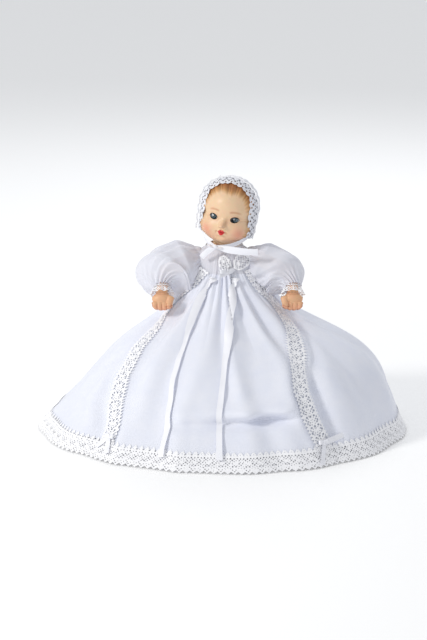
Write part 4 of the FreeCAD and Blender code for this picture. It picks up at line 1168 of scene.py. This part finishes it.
def chin_ribbon():
    """Ties from both lower corners of the bonnet to a knot under the chin, one long end out to the left."""
    tie = np.array([-5.0, -37.5, -3.0])
    verts, faces = [], []
    m = 40
    steps = np.linspace(0, 1, m)
    arch = [(k, 0.5 * math.cos(math.pi * k)) for k in np.linspace(-0.5, 0.5, 6)]

    def curve(a, b, c):
        return [(1 - s) ** 2 * a + 2 * s * (1 - s) * b + s * s * c for s in steps]

    def lay(path, widths, normals):
        normals = [v / np.linalg.norm(v) for v in normals]
        strip(verts, faces, path, widths, normals, normals, arch)

    for sign in (-1, 1):
        path = curve(np.array([sign * 33.5, -14.0, 13.5]), np.array([sign * 20, -33.0, -1.0]), tie)
        normals = [np.array([sign * (1 - s) * 0.9, -0.5 - 0.5 * s, -0.45 * (1 - s)]) for s in steps]
        lay(path, np.linspace(8.5, 5.0, m), normals)
    tails = [
        (np.array([26, -43.0, -4.0]), np.array([56, -38.0, 1.5]), 10.0),
        (np.array([-14, -42.0, -9.0]), np.array([-22, -38.0, -22.0]), 8.0),
    ]
    for middle, end, width in tails:
        normals = [np.array([0.1 * math.sin(5 * s), -1.0, 0.25 * math.sin(4 * s + 1)]) for s in steps]
        lay(curve(tie, middle, end), 5 + (width - 5) * smoothstep(0, 0.35, steps), normals)
    for sign, size in ((1, 9.0), (-1, 8.0)):
        loop = [tie + np.array([sign * size * math.sin(math.pi * s), -1.5 - 2.2 * math.sin(2 * math.pi * s),
                                2.0 * math.sin(math.pi * s) - 1]) for s in steps]
        facing = [np.array([0, -0.2, 1.0])] * m
        strip(verts, faces, loop, [5.5] * m, facing, facing, arch)
    axes = np.array([[3.6, 0, 0], [0, 0, 3.4], [0, 2.6, 0]])
    knot(verts, faces, tie + np.array([0, -1.5, 0]), axes, 10, 14)
    return mesh_piece("chin_ties", in_head(np.array(verts)), faces, SATIN, ("chin_ribbon",), "head")


# ------------------------------------------------------------------ put it together

PANELS = gown_panels()
YOKE, FRILL = gown_bodice()
SLIP = slip()
HEM = hem_lace()
BANDS = lace_bands()
STREAMERS = streamers()
BOWS = bows()
CHEST = chest_lace()
SLEEVES = [sleeve("left", 1), sleeve("right", -1)]
limbs()
head()
eyes()
CROWN, *BONNET_LACE = bonnet()
TIES = chin_ribbon()

# ------------------------------------------------------------------ floor, light, camera

floor = new_object("floor", bpy.data.meshes.new("floor"))
floor.data.from_pydata([(-6, -6, 0), (6, -6, 0), (6, 6, 0), (-6, 6, 0)], [], [(0, 1, 2, 3)])
paper, _, bsdf = new_material("floor_paper")
settle(bsdf, Base_Color=(0.97, 0.97, 0.97, 1), Roughness=0.9, Emission_Color=(1, 1, 1, 1),
       Emission_Strength=0.10)
floor.data.materials.append(paper)


def area_light(name, at, size, watts, color):
    light = bpy.data.lights.new(name, "AREA")
    light.shape = "DISK"
    light.size = size
    light.energy = watts
    light.color = color
    ob = new_object(name, light)
    ob.location = at
    ob.rotation_mode = "QUATERNION"
    ob.rotation_quaternion = (Vector((0, 0, 0.15)) - Vector(at)).to_track_quat("-Z", "Y")


area_light("key", (-1.9, -1.1, 1.5), 0.5, 27, (1.0, 0.98, 0.94))
area_light("back", (0.3, 1.8, 1.7), 1.4, 12, (0.97, 0.98, 1.0))
world = bpy.data.worlds.new("studio")
world.use_nodes = True
settle(world.node_tree.nodes["Background"], Color=(0.95, 0.97, 1.0, 1), Strength=0.64)
bpy.context.scene.world = world
bpy.context.scene.view_settings.view_transform = "Standard"

DISTANCE, ELEVATION = 3.0, math.radians(15)
VIEW_HEIGHT = 0.923  # what the picture takes in at that distance
camera = bpy.data.cameras.new("camera")
camera.sensor_width = 36
camera.lens = 36 * DISTANCE / VIEW_HEIGHT
eye = new_object("camera", camera)
up = Vector((0, math.sin(ELEVATION), math.cos(ELEVATION)))
away = Vector((0, -math.cos(ELEVATION), math.sin(ELEVATION)))
aim = Vector((-0.0195, 0, 0)) + up * 0.1510
eye.location = aim + away * DISTANCE
eye.rotation_mode = "QUATERNION"
eye.rotation_quaternion = away.to_track_quat("Z", "Y")
bpy.context.scene.camera = eye
